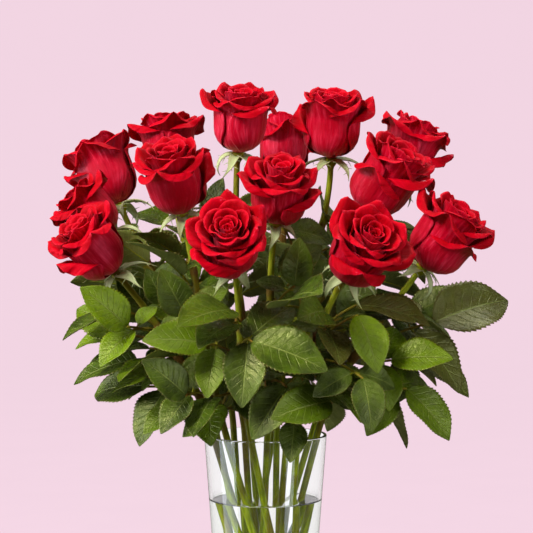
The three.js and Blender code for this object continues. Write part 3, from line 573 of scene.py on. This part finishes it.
def rounded(corners, steps=5):
    """A profile with each corner (r, z, radius) rounded off."""
    points = []
    for i, (r, z, size) in enumerate(corners):
        here = vec(r, z)
        if size == 0 or i in (0, len(corners) - 1):
            points.append(here)
            continue
        before = vec(*corners[i - 1][:2])
        after = vec(*corners[i + 1][:2])
        start = here + unit(before - here) * size
        end = here + unit(after - here) * size
        for k in range(steps + 1):
            t = k / steps
            points.append((1 - t) ** 2 * start + 2 * t * (1 - t) * here + t * t * end)
    return np.array(points)


def supported(profile, near=0.3, step=12):
    """The profile with points added along its straight stretches, which keeps smooth shading true to them."""
    points = [profile[0]]
    for before, after in zip(profile[:-1], profile[1:]):
        length = norm(after - before)
        if length > 4 * near:
            inner = np.linspace(near, length - near, max(2, round(length / step)))
            points += [before + (after - before) * at / length for at in inner]
        points.append(after)
    return np.array(points)


# The profiles end this near to the axis, where small caps close them.
AXIS_RADIUS = 0.02


def turned_body(name, profile, materials, slot, node, sides=144):
    """A body turned about the vase's axis. Any second material is for the faces inside the glass wall."""
    profile = supported(profile)
    profile[[0, -1], 0] = AXIS_RADIUS
    rings = turned_rings(*profile.T, sides)
    quads = ring_quads(len(profile), sides)
    first, last = np.arange(sides), np.arange(sides) + (len(profile) - 1) * sides
    for cap in (first[::-1], last):
        fan = [[cap[k], cap[k + 1], cap[k + 2], cap[0]] for k in range(1, sides - 2, 2)]
        quads = np.concatenate([quads, np.array(fan)])
    middles = rings.reshape(-1, 3)[quads].mean(axis=1)
    across = np.hypot(middles[:, 0], middles[:, 1])
    inside = (middles[:, 2] > GLASS_BASE / 2) & (across < vase_radius(middles[:, 2]) - GLASS_WALL / 2)
    builder = Builder()
    builder.add(rings, np.zeros((rings.size // 3, 2)), 0.0, quads, inside * (len(materials) - 1))
    piece = builder.object(name, materials)
    hide_from(piece, "shadow", "diffuse")
    finish_piece(piece, slot, node)


def make_vase():
    foot_corner = 2.2
    lip_corner = 1.2
    profile = rounded([
        (0, 0, 0),
        (VASE_FOOT_RADIUS, 0, foot_corner),
        (VASE_RIM_RADIUS, VASE_HEIGHT, lip_corner),
        (bore_radius(VASE_HEIGHT), VASE_HEIGHT, lip_corner),
        (bore_radius(GLASS_BASE), GLASS_BASE, BORE_CORNER),
        (0, GLASS_BASE, 0),
    ])
    turned_body("glass_vase", profile, GLASS, "glass", "vase")


def make_water():
    # The water reaches a little into the glass, so that no air shows between them, and climbs at its edge.
    wet = 0.15
    meniscus = 1.6
    meniscus_corner = 1.5
    profile = rounded([
        (0, GLASS_BASE - wet, 0),
        (bore_radius(GLASS_BASE) + wet, GLASS_BASE - wet, BORE_CORNER),
        (bore_radius(WATER_LEVEL) + wet, WATER_LEVEL, 0),
        (bore_radius(WATER_LEVEL) - 0.1, WATER_LEVEL, 0),
        (bore_radius(WATER_LEVEL) - 0.3, WATER_LEVEL - meniscus, meniscus_corner),
        (0, WATER_LEVEL - meniscus, 0),
    ])
    turned_body("vase_water", profile, WATER, "water", "water")


# ---------- stems
def on_ring(radius, degrees, z):
    angle = radians(degrees)
    return vec(radius * math.cos(angle), radius * math.sin(angle), z)


def stem_line(rose):
    """The stem's foot, its place at the rim, and the curve from there up into the bloom."""
    ring = RINGS[rose.ring]
    foot = on_ring(ring["foot"], rose.rim_at + ring["twist"], GLASS_BASE + FIT + STEM_FOOT_LIFT)
    rim = on_ring(ring["rim"], rose.rim_at, VASE_HEIGHT)
    axis = unit(vec(*rose.faces))
    top = vec(*rose.base) - axis * HIP_LENGTH
    reach = norm(top - rim)
    leaving = unit(rim - foot)
    curve = [rim, rim + leaving * reach * 0.35, top - axis * reach * 0.3, top]
    return Record(foot=foot, rim=rim, axis=axis, curve=curve)


def stem_at(line, z):
    """The stem's point at a height, which closes in from both sides."""
    low, high = 0.0, 1.0
    for _ in range(30):
        middle = (low + high) / 2
        if bezier(line.curve, middle)[0][2] < z:
            low = middle
        else:
            high = middle
    return bezier(line.curve, low)[0]


def arc(bend, s, length):
    """How far an arc of the length, which bends by the angle in all, has gone on and aside after s of it."""
    angle = bend * s / length
    return length / bend * np.sin(angle), length / bend * (1 - np.cos(angle))


def frame_of(axis):
    """The turn that takes +Z to the axis the short way, as a matrix for row vectors."""
    turn = Vector((0, 0, 1)).rotation_difference(Vector(axis)).to_matrix()
    return np.array(turn).T


# The hip: how far each ring lies above the bloom's base, and its radius.
HIP = [(-10.4, 3.1), (-9, 3.7), (-7.5, 4.7), (-5.5, 5.7), (-3.6, 6.1), (-1.8, 5.8), (-FIT, 5.1)]
STEM_TAPER = 0.3
STEM_SIDES = 14
KNOT_SWELL = 0.9
KNOT_REACH = 6


def make_stem(builder, rose, line, knots):
    """The stem with its hip. The knots are where its leaves grow."""
    base = vec(*rose.base)
    axis = line.axis
    low = [line.foot + (line.rim - line.foot) * t for t in np.linspace(0, 1, 16)[:-1]]
    high = list(bezier(line.curve, np.linspace(0, 1, 40))[0])
    path = np.array(low + high + [base + axis * along for along, _ in HIP])
    tapering = np.linspace(STEM_RADIUS, STEM_RADIUS - STEM_TAPER, len(high))
    radii = np.concatenate([np.full(len(low), STEM_RADIUS), tapering, [radius for _, radius in HIP]])
    swell = np.zeros(len(path))
    for knot in knots:
        swell += KNOT_SWELL * np.exp(-((norm(path - knot, axis=1) / KNOT_REACH) ** 2))
    tones = np.clip(np.concatenate([swell[:1], swell, swell[-1:]]), 0, 1)
    builder.tube(path, radii + swell, STEM_SIDES, np.repeat(tones, STEM_SIDES), STEM)


# A sepal's whiskers: their places along it and the side each is on.
WHISKERS = ((0.3, 1), (0.42, -1), (0.55, 1), (0.7, -1))
SEPAL_COUNT = 5
SEPAL_STEPS = 20
SEPAL_COLUMNS = 7
SEPAL_THICKNESS = 0.6
SEPAL_HOLLOW = 0.35
# A sepal's half width: what its blade, the tail beyond it and the very tip each give.
SEPAL_BLADE = 5.4
SEPAL_TAIL = 0.35
SEPAL_TIP = 0.12


def make_sepals(builder, rose, line):
    """Sepals that leave the hip, each bending its own way, broad at the foot with a long tip and whiskers."""
    draw = drawer(round(rose.spin) + 7)
    base, axis = vec(*rose.base), line.axis
    start = line.curve[3]
    tangent = unit(base - start)
    side = vec(1, 0, 0) - tangent * tangent[0]
    first = radians(rose.spin)
    for k in range(SEPAL_COUNT):
        bend = radians(30 + 110 * draw())
        length = 27 + 11 * draw()
        angle = first + (k + 0.3 * (draw() - 0.5)) * 2 * pi / SEPAL_COUNT
        out = unit(turned(unit(side), axis, angle))
        out = unit(out - axis * (out @ axis))
        across = np.cross(axis, out)
        s = np.linspace(0, 1, SEPAL_STEPS + 1)
        reach, drop = arc(bend, length * s, length)
        sway = 0.5 * (draw() - 0.5) * s**2 + 0.05 * np.sin(7 * s + 6 * draw()) * s
        middle = base + out * (4 + reach)[:, None] - axis * (3.4 + drop)[:, None]
        middle = middle + across * (length * sway)[:, None]
        normal = axis * np.cos(bend * s)[:, None] + out * np.sin(bend * s)[:, None]
        blade = SEPAL_BLADE * np.sin(pi * (0.3 + 0.7 * s)) ** 0.9 * (1 - s) ** 0.7
        half = blade + SEPAL_TAIL * (1 - s) + SEPAL_TIP
        x = np.linspace(-1, 1, SEPAL_COLUMNS)
        twist = 1.6 * (draw() - 0.5) * s**1.5
        way = across * np.cos(twist)[:, None] + normal * np.sin(twist)[:, None]
        places = (
            middle[:, None]
            + way[:, None] * (half[:, None] * x[None])[..., None]
            + normal[:, None] * (SEPAL_HOLLOW * half[:, None] * x[None] ** 2)[..., None]
        )
        uvs = np.stack(np.broadcast_arrays(x[None], s[:, None]), -1)
        builder.sheet(places, np.full(places.shape[:2], SEPAL_THICKNESS), uvs, 0.5, SEPAL)
        for at, hand in WHISKERS:
            i = round(at * SEPAL_STEPS)
            root = middle[i] + way[i] * hand * half[i] * 0.8
            tip = root + way[i] * hand * (4 + 3 * draw()) + out * 3 * draw() - axis * 3 * draw()
            builder.tube([root, (root + tip) / 2 + normal[i] * 0.5, tip], [0.5, 0.35, 0.12], 5, 0.4, SEPAL)


THORN_SHARES = (0.12, 0.34, 0.6, 0.83)
# A thorn's rings: how far out and how far down the stem each lies, and its radius.
THORN = ((2.2, -0.6, 1.9), (3.6, -0.2, 1.15), (4.9, 0.4, 0.55), (6.1, 1.3, 0.1))


def make_thorns(builder, rose, line):
    """Small hooked thorns with a long root along the stem."""
    draw = drawer(round(rose.spin) + 101)
    for share in THORN_SHARES:
        point, tangent = bezier(line.curve, 0.75 * share + 0.1 * draw())
        bearing = 2 * pi * draw()
        side = unit(np.cross(tangent, UP))
        out = math.cos(bearing) * side + math.sin(bearing) * np.cross(tangent, side)
        path = [point + out * away - tangent * down for away, down, _ in THORN]
        builder.tube(path, [radius for _, _, radius in THORN], 8, 0.85, STEM, flat=0.5, up=tangent)


# ---------- leaves
def leaf_shape(s):
    return np.sin(pi * np.clip(s, 0, 1) ** 0.78) ** 0.85


def leaflet(foot, direction, normal, length, hand=0):
    along = unit(direction)
    up = unit(normal - along * (normal @ along))
    return Record(foot=foot, along=along, up=up, across=np.cross(along, up), length=length, hand=hand)


def leaf_points(leaf, s, x):
    """The leaflet's points at shares s of its rib and x, from -1 to 1, of its half width."""
    s, x = np.broadcast_arrays(np.asarray(s, float), np.asarray(x, float))
    bend = LEAF_CURL * s
    reach, drop = arc(LEAF_CURL, leaf.length * s, leaf.length)
    half = LEAF_WIDTH * leaf.length * leaf_shape(s)
    up = leaf.up * np.cos(bend)[..., None] + leaf.along * np.sin(bend)[..., None]
    return (
        leaf.foot
        + leaf.along * reach[..., None]
        - leaf.up * drop[..., None]
        + leaf.across * (half * x * math.cos(LEAF_FOLD))[..., None]
        + up * (half * np.abs(x) * math.sin(LEAF_FOLD))[..., None]
    )


def compound_leaf(start, foot, tip, count, frontal):
    """A compound leaf: its stalk from the stem, the end leaflet, and a pair of smaller ones below it.

    It faces up and outwards or, by the frontal share, up and to the front."""
    normal = UP * 0.5 + (unit(vec(foot[0], foot[1], 0)) * (1 - frontal) + FRONT * frontal) * 0.7
    direction = unit(tip - foot)
    length = norm(tip - foot) * 1.02
    reach = norm(foot - start)
    bow = (start + foot) / 2 + UP * 0.12 * reach
    curve = [start, bow, foot]
    end = leaflet(foot, direction, normal, length)
    half = LEAF_CURL / 2
    end.along = direction * math.cos(half) + end.up * math.sin(half)
    end.up = end.up * math.cos(half) - direction * math.sin(half)
    root_at = max(0.35, 1 - 0.27 * length / reach)
    root = bezier(curve, root_at)[0]
    sides = []
    for hand in (1, -1) if count > 1 else ():
        choices = []
        for size, forward in SIDE_SIZES:
            side = direction * forward + end.across * 0.95 * hand
            choices.append(leaflet(root + side * 3.5, side, normal, length * size, hand))
        sides.append(choices)
    return Record(curve=curve, root_at=root_at, end=end, sides=sides)


SAMPLE_S = np.array([s for s in (0.08, 0.2, 0.32, 0.44, 0.56, 0.68, 0.8, 0.92) for _ in range(7)] + [1.0])
SAMPLE_X = np.array([-1, -0.66, -0.33, 0, 0.33, 0.66, 1] * 8 + [0.0])


def leaf_samples(leaf):
    return leaf_points(leaf, SAMPLE_S, SAMPLE_X)


def stalk_samples(leaf):
    return bezier(leaf.curve, [0.13, 0.25, 0.37, 0.5, 0.62, 0.75, 0.87, 1])[0]


class Thicket:
    """Keeps each new leaf clear of the stems, blooms, glass and earlier leaves, as balls of a size."""

    def __init__(self):
        self.points, self.radii, self.owners = np.zeros((0, 3)), np.zeros(0), np.zeros(0, int)
        self.names = {}

    def add(self, owner, points, radius):
        points = np.atleast_2d(points)
        number = self.names.setdefault(owner, len(self.names))
        self.points = np.concatenate([self.points, points])
        self.radii = np.concatenate([self.radii, np.full(len(points), float(radius))])
        self.owners = np.concatenate([self.owners, np.full(len(points), number)])

    def is_clear(self, points, margin, start, owner):
        low = points[:, 2] < VASE_HEIGHT + GLASS_MARGIN
        if np.any(low & (np.hypot(points[:, 0], points[:, 1]) < VASE_RIM_RADIUS + GLASS_MARGIN)):
            return False
        centre = points.mean(axis=0)
        spread = norm(points - centre, axis=1).max()
        near = norm(self.points - centre, axis=1) <= self.radii + margin + spread
        own = self.owners == self.names.get(owner, -1)
        near &= ~(own & (norm(self.points - start, axis=1) < OWN_REACH))
        if not near.any():
            return True
        gaps = norm(points[:, None] - self.points[near][None], axis=-1)
        return bool((gaps > self.radii[near] + margin).all())


def place_leaf(thicket, owner, start, foot, tip, count, frontal, margin):
    """The leaf as drawn, or turned and tilted about its start until it is clear."""

    def is_free(one):
        return thicket.is_clear(leaf_samples(one), margin, start, owner)

    best = None
    level = unit(vec(foot[1] - start[1], start[0] - foot[0], 0))
    for tilt, turn in product(TILTS, TURNS):
        tilted = turned(np.array([foot, tip]) - start, level, radians(tilt))
        leaf = compound_leaf(start, *(turned(tilted, UP, radians(turn)) + start), count, frontal)
        if not thicket.is_clear(stalk_samples(leaf), STALK_MARGIN, start, owner) or not is_free(leaf.end):
            continue
        sides = [next(filter(is_free, choices), None) for choices in leaf.sides]
        leaflets = [leaf.end, *filter(None, sides)]
        if best is None or len(leaflets) > len(best.leaflets):
            leaf.leaflets = leaflets
            best = leaf
        if len(leaflets) == count:
            break
    return best


def grow_leaves(lines):
    thicket = Thicket()
    leaves = {name: [] for name in lines}
    for name, line in lines.items():
        base, size = vec(*ROSES[name].base), ROSES[name].size
        thicket.add(name, bezier(line.curve, np.arange(41) / 40)[0], STEM_RADIUS)
        for (up, radius), share in ((HEAD_BALL, size), (HIP_BALL, 1)):
            thicket.add("bloom", base + line.axis * up * share, radius * share)

    def grow(name, start, foot, tip, count, frontal, age, margin=LEAF_MARGIN):
        leaf = place_leaf(thicket, name, start, foot, tip, count, frontal, margin)
        if leaf is None:
            return
        for one in leaf.leaflets:
            thicket.add(name, leaf_samples(one), margin)
        thicket.add(name, stalk_samples(leaf), STALK_MARGIN)
        leaf.age = age
        leaves[name].append(leaf)

    def fill(heights, most, shortest_stalk, shortest, draw, margin):
        for height in heights:
            for name, line in lines.items():
                start = stem_at(line, min(height, ROSES[name].base[2] - BARE_UNDER_BLOOM))
                bearing = math.atan2(start[1], start[0]) + 1.5 * (draw() - 0.5)
                out = vec(math.cos(bearing), math.sin(bearing), 0)
                aside = vec(-out[1], out[0], 0)
                stalk = shortest_stalk + 18 * draw()
                blade = shortest + 16 * draw()
                foot = start + out * stalk + UP * stalk * (0.3 + 0.5 * draw())
                way = out * 0.8 + aside * 1.1 * (draw() - 0.5)
                way[2] = 0.25 - 0.75 * draw()
                tip = foot + unit(way) * blade
                if sum(len(found) for found in leaves.values()) < most:
                    age = min(1, max(0.05, 0.42 - 0.0018 * tip[0] + 0.7 * (ages() - 0.5)))
                    grow(name, start, foot, tip, 3, 0, age, margin)

    for name, height, foot, tip, leaflets, age in FRONT_LEAVES:
        start = stem_at(lines[name], height)
        grow(name, start, vec(*foot), vec(*tip), leaflets, FRONT_FACING, age)
    ages = drawer(59)
    fill(FILL_HEIGHTS, LEAVES_MOST, 26, 64, drawer(41), LEAF_MARGIN)
    fill(SMALL_HEIGHTS, LEAVES_MOST + SMALL_LEAVES_MOST, 14, 48, drawer(87), SMALL_LEAF_MARGIN)
    return leaves


TEETH_PER_SIDE = 19
# A tooth's steps along the rib, and how far out its edge lies at each.
TOOTH_STEPS = (0.0, 0.4, 0.78, 0.93)
TOOTH_EDGE = (0.965, 1.0, 1.045, 1.01)
BLADE_COLUMNS = np.array([-1, -0.86, -0.6, -0.3, -0.08, 0, 0.08, 0.3, 0.6, 0.86, 1])
EDGE_FROM = 0.95
QUILT_HEIGHT = 0.28
CUP_DEPTH = 0.9
USUAL_LEAF_LENGTH = 65


def make_leaflet(builder, leaf, age, draw):
    """A serrated, gently waved blade on the same rib and outline as the part's."""
    teeth = np.array([(k + t) / TEETH_PER_SIDE for k in range(TEETH_PER_SIDE) for t in TOOTH_STEPS])
    s = np.concatenate([0.012 + 0.972 * teeth, [0.995]])
    edge = np.concatenate([np.tile(TOOTH_EDGE, TEETH_PER_SIDE), [1.0]])
    grid_s, grid_x = np.meshgrid(s, BLADE_COLUMNS, indexing="ij")
    wide = np.abs(grid_x)
    at_edge = wide > EDGE_FROM
    places = leaf_points(leaf, grid_s, np.where(at_edge, grid_x * edge[:, None], grid_x))
    bend = LEAF_CURL * grid_s
    up = leaf.up * np.cos(bend)[..., None] + leaf.along * np.sin(bend)[..., None]
    wave = 1.1 + 0.9 * draw()
    phase = 2 * pi * draw()
    hump = np.sin(pi * grid_s)
    ripple = wave * wide**2.2 * np.sin(3.2 * pi * grid_s + phase + 1.3 * np.sign(grid_x))
    quilt = QUILT_HEIGHT * np.cos(2 * pi * VEINS_PER_SIDE * (grid_s - 0.17 * wide))
    lift = ripple * hump + np.sin(pi * wide) * (quilt - CUP_DEPTH * hump)
    places = places + up * (lift * leaf.length / USUAL_LEAF_LENGTH)[..., None]
    thickness = np.where(wide < 0.1, 0.9, 0.5)
    thickness[at_edge] = 0.25
    thickness[[0, -1]] = 0.3
    uvs = np.stack([grid_x, grid_s], -1)
    builder.sheet(places, thickness, uvs, age + 0.16 * (draw() - 0.5), LEAF, LEAF_UNDER)
    rib_s = np.linspace(0, 0.93, 14)
    rib = leaf_points(leaf, rib_s, 0) - leaf.up * 0.35
    builder.tube(rib, 0.75 - 0.6 * rib_s, 7, 0.1, STEM)


def make_leaf(builder, leaf, draw):
    """A compound leaf: its stalk, swollen where it leaves the stem, and its leaflets."""
    t = np.linspace(0, 1, 12)
    path = bezier(leaf.curve, t)[0]
    radii = 1.15 + 0.9 * np.exp(-((t * norm(path[-1] - path[0]) / 5) ** 2))
    builder.tube(path, radii, 9, 0.3 + 0.4 * draw(), STEM)
    for one in leaf.leaflets:
        if one.hand:
            root = bezier(leaf.curve, leaf.root_at)[0]
            twig = [root, (root + one.foot) / 2, one.foot + one.along * 1.5]
            builder.tube(twig, [1.1, 0.95, 0.8], 7, 0.3, STEM)
        make_leaflet(builder, one, leaf.age, draw)


# ---------- blooms
def petal_form(rose, index):
    """The petal at a whorl position: the cup it is part of, its lean, its flare and its rolled-back sides."""
    share = index / (PETAL_COUNT - 1)
    draw = drawer(round(rose.spin) * 31 + index * 17 + 5)
    size, opened = rose.size, rose.open
    radius = size * (2.5 + 23 * share**1.2)
    curled = min(1, max(0, (share - 0.3) / 0.7))
    guard = index >= GUARD_FROM
    height = size * (48 + 17 * math.sin(min(1, share * 1.3) * pi / 2) - 4 * share**3)
    height *= (0.8 if guard else 1) * (0.96 + 0.08 * draw())
    return Record(
        index=index,
        azimuth=radians(index * GOLDEN_ANGLE + rose.spin + 10 * (draw() - 0.5)),
        radius=radius,
        height=height,
        half_angle=min(2.3 if share < 0.5 else 1.3, size * (11 + 18 * share) / radius),
        lean=radians(-6 + 12 * opened * share**1.7 + 5 * share * (draw() - 0.5)),
        start=size * (5 - 4 * share),
        flare_at=height * (0.72 - 0.1 * curled),
        flare_radius=size * (20 - 6 * curled),
        flare_most=radians(8 + 38 * opened * curled * (0.65 + 0.7 * draw())),
        fold_at=height * (0.975 - 0.05 * curled * draw()),
        fold_slope=radians(6 + 24 * curled + 12 * draw()),
        fold_radius=size * (1.3 + 1.1 * curled),
        fold_most=radians(30 + (40 + 40 * opened) * curled),
        draw=draw,
    )


def petal_points(petal, u, v):
    """The petal's points: u from -1 to 1 across, v from 0 at its foot to 1 at its lip."""
    belly, rise, root = 0.4 * petal.height, 0.36 * petal.height, 3
    y = v * petal.height * (1 - v * (0.11 * np.abs(u) ** 2 + 0.15 * np.abs(u) ** 5))
    x = u * petal.half_angle * petal.radius * (0.42 + 0.58 * smooth(v / 0.5))
    slope, bend = petal.fold_slope, petal.fold_radius
    past = np.maximum(0, np.abs(x) * math.sin(slope) + (y - petal.fold_at) * math.cos(slope))
    angle = np.minimum(past / bend, petal.fold_most)
    straight = past - angle * bend
    along = bend * np.sin(angle) + straight * np.cos(angle)
    lift = bend * (1 - np.cos(angle)) + straight * np.sin(angle)
    x = x + np.sign(x) * (along - past) * math.sin(slope)
    y = y + (along - past) * math.cos(slope)
    turn = np.minimum(1, y / belly) * pi / 2
    wall = np.clip(y, belly, petal.flare_at) - belly
    beyond = np.maximum(0, y - petal.flare_at)
    flare = np.minimum(beyond / petal.flare_radius, petal.flare_most)
    rest = beyond - flare * petal.flare_radius
    lean = petal.lean
    way = lean + flare
    radius = (
        root + (petal.radius - root) * np.sin(turn) + wall * math.sin(lean)
        + petal.flare_radius * (math.cos(lean) - np.cos(way)) + rest * np.sin(way) + lift * np.cos(way)
    )
    z = (
        petal.start + rise * (1 - np.cos(turn)) + wall * math.cos(lean)
        + petal.flare_radius * (np.sin(way) - math.sin(lean)) + rest * np.cos(way) - lift * np.sin(way)
    )
    azimuth = petal.azimuth + x / np.maximum(radius, petal.radius)
    return np.stack([radius * np.cos(azimuth), radius * np.sin(azimuth), z], -1)


LIP_THICKNESS = 0.18


def make_petal(builder, petal, turn, base):
    """A petal on the part's own shape, with finer waves and creases towards its lip."""
    outer = petal.index >= OUTER_FROM
    draw = petal.draw
    u = np.sin(np.linspace(-pi / 2, pi / 2, 23)) * 0.35 + np.linspace(-1, 1, 23) * 0.65
    v = np.concatenate([np.linspace(0, 0.55, 8)[:-1], np.linspace(0.55, 1, 17 if outer else 12)])
    grid_v, grid_u = np.meshgrid(v, u, indexing="ij")
    places = petal_points(petal, grid_u, grid_v)
    normals = units(np.cross(np.gradient(places, axis=1), np.gradient(places, axis=0)))
    share = petal.index / (PETAL_COUNT - 1)
    wave = (0.35 + 0.9 * share) * grid_v**4 * np.sin(pi * (2.3 * grid_u + 2 * draw()))
    side = (0.2 + 0.7 * share) * np.abs(grid_u) ** 3 * grid_v**2
    edges = side * np.sin(pi * (3.4 * grid_v + 2 * draw()))
    crease = 0.35 * np.sin(pi * (4 * grid_u + 2 * draw())) * grid_v * share
    places = places + normals * (wave + edges + crease)[..., None]
    thickness = 0.55 - 0.25 * grid_v
    thickness[:, [0, -1]] = LIP_THICKNESS
    thickness[-1] = LIP_THICKNESS
    uvs = np.stack([grid_u, grid_v], -1)
    builder.sheet(places @ turn + base, thickness, uvs, draw(), SATIN, VELVET)


def make_bloom(name, rose, line):
    """A bloom's petals on the core that they grow from."""
    builder = Builder()
    base, turn = vec(*rose.base), frame_of(line.axis)
    for index in range(PETAL_COUNT):
        make_petal(builder, petal_form(rose, index), turn, base)
    size = rose.size
    core = [(0.2, 4.6), (2.0, 5.2), (5.0, 6.0), (12, 5.0), (20 * size, 3.0)]
    builder.tube([base + line.axis * z for z, _ in core], [r for _, r in core], 16, 0.9, SATIN)
    piece = builder.object("rose_" + name, REDS)
    finish_piece(piece, "petal", "bloom_" + name)


# ---------- the bouquet
make_vase()
make_water()
lines = {name: stem_line(rose) for name, rose in ROSES.items()}
leaves = grow_leaves(lines)
for name, rose in ROSES.items():
    line = lines[name]
    make_bloom(name, rose, line)
    builder = Builder()
    make_stem(builder, rose, line, [leaf.curve[0] for leaf in leaves[name]])
    make_sepals(builder, rose, line)
    make_thorns(builder, rose, line)
    draw = drawer(round(rose.spin) + 977)
    for leaf in leaves[name]:
        make_leaf(builder, leaf, draw)
    finish_piece(builder.object("greenery_" + name, GREENS), "leaf", "stem_" + name)

# ---------- studio
PINK = (0.896, 0.672, 0.776)
FLAT_FLOOR = 1500
FLOOR_RADIUS = 3000
SWEEP_RADIUS = 1000
WALL_HEIGHT = 5000
BELOW_VASE = 0.5
DOME_RADIUS = 1300
CARD_HEIGHT = 2.4


def paper_material():
    """Pale paper, part of whose light is its own, so that it looks even all over."""
    m = Nodes("studio_paper")
    grain = m.noise(m.place(), 8.0, 2.0)
    share = m.span(grain, 0.3, 0.7, 0.035, 0.045)
    return m.surface(
        Base_Color=m.mix(share, (0, 0, 0), PINK), Roughness=0.9, Specular_IOR_Level=0.0,
        Emission_Color=PINK, Emission_Strength=0.975,
    )


def glow_material(name, colour, strength):
    return Nodes(name).surface(Base_Color=(0, 0, 0), Emission_Color=colour, Emission_Strength=strength)


def add_stage_piece(name, points, faces, material, *rays):
    """A piece that only serves the picture, and that rays of these kinds don't meet."""
    builder = Builder()
    builder.add(points, np.zeros((points.size // 3, 2)), 0.0, faces, 0)
    piece = builder.object(name, [material])
    hide_from(piece, *rays)


def make_floor(sides=96):
    """A pale round floor that sweeps up into a backdrop on every side."""
    sweep = np.linspace(0, pi / 2, 16)
    curve = FLOOR_RADIUS + SWEEP_RADIUS * np.sin(sweep)
    radius = np.concatenate([[1, FLAT_FLOOR], curve, [FLOOR_RADIUS + SWEEP_RADIUS]])
    height = np.concatenate([[0, 0], SWEEP_RADIUS - SWEEP_RADIUS * np.cos(sweep), [WALL_HEIGHT]])
    rings = turned_rings(radius, height - BELOW_VASE, sides)
    quads = ring_quads(len(radius), sides)
    add_stage_piece("studio_floor", rings, quads, paper_material(), "diffuse", "glossy", "transmission")


def make_surround(sides=32):
    """A pale dome that only shows through the glass, which keeps the vase clear and bright."""
    rise = np.linspace(0.02, pi - 0.02, 17)
    rings = turned_rings(DOME_RADIUS * np.sin(rise), DOME_RADIUS * np.cos(rise), sides)
    pale = glow_material("pale_surround", (1.0, 0.91, 0.95), 1.0)
    quads = ring_quads(len(rise), sides)
    add_stage_piece("pale_surround", rings, quads, pale, "camera", "diffuse", "glossy", "shadow")


def make_card(name, place, width, strength):
    """A tall bright card beyond the stage, which only shows as a reflection."""
    away = unit(vec(place[0], place[1], 0))
    across = vec(-away[1], away[0], 0) * width / 2
    up = UP * CARD_HEIGHT / 2
    corners = [vec(*place) + a * across + b * up for a, b in ((-1, -1), (1, -1), (1, 1), (-1, 1))]
    points = np.array(corners) * MM_PER_METRE
    bright = glow_material(name, (0.80, 0.88, 1.0), strength)
    add_stage_piece(name, points, [[0, 1, 2, 3]], bright, "camera", "diffuse", "transmission", "shadow")


def aim(thing, place, target):
    """Puts a light or the camera at its place in the scene, turned to the target."""
    thing.location = place
    thing.rotation_mode = "QUATERNION"
    thing.rotation_quaternion = (Vector(target) - Vector(place)).to_track_quat("-Z", "Y")
    bpy.context.scene.collection.objects.link(thing)


def make_light(name, place, target, size, power, colour=(1, 1, 1)):
    data = bpy.data.lights.new(name, "AREA")
    data.shape = "RECTANGLE"
    data.size, data.size_y = size
    data.energy = power
    data.color = colour
    light = bpy.data.objects.new(name, data)
    hide_from(light, "transmission")
    aim(light, place, target)


make_floor()
make_surround()
make_card("left_card", (-1.6, -0.35, 0.0), 1.1, 5.0)
make_card("right_card", (1.2, -1.05, 0.0), 0.5, 4.5)
make_light("key_softbox", (-1.2, -1.3, 1.7), (0, 0, 0.38), (0.7, 0.7), 62, (1, 0.96, 0.88))
make_light("side_softbox", (-1.6, -0.2, 0.5), (0, 0, 0.35), (1.2, 1.2), 16)
make_light("fill_softbox", (1.3, -1.1, 0.5), (0, 0, 0.35), (0.8, 1.2), 11)
make_light("top_softbox", (0.3, 0.4, 2.0), (0, 0, 0.4), (1.2, 1.0), 18)

world = bpy.data.worlds.new("studio")
world.use_nodes = True
sky = world.node_tree.nodes["Background"]
sky.inputs["Color"].default_value = (1.0, 0.92, 0.66, 1)
sky.inputs["Strength"].default_value = 0.14
bpy.context.scene.world = world
bpy.context.scene.view_settings.view_transform = "Standard"

CAMERA_PLACE = Vector((0.001, -1.7, 0.445))
CAMERA_TARGET = Vector((0.001, 0, 0.383))
FRAME_WIDTH_AT_VASE = 0.501
SENSOR_WIDTH = 36
camera_data = bpy.data.cameras.new("camera")
camera_data.sensor_width = SENSOR_WIDTH
camera_data.lens = SENSOR_WIDTH * (CAMERA_TARGET - CAMERA_PLACE).length / FRAME_WIDTH_AT_VASE
camera = bpy.data.objects.new("camera", camera_data)
aim(camera, CAMERA_PLACE, CAMERA_TARGET)
bpy.context.scene.camera = camera
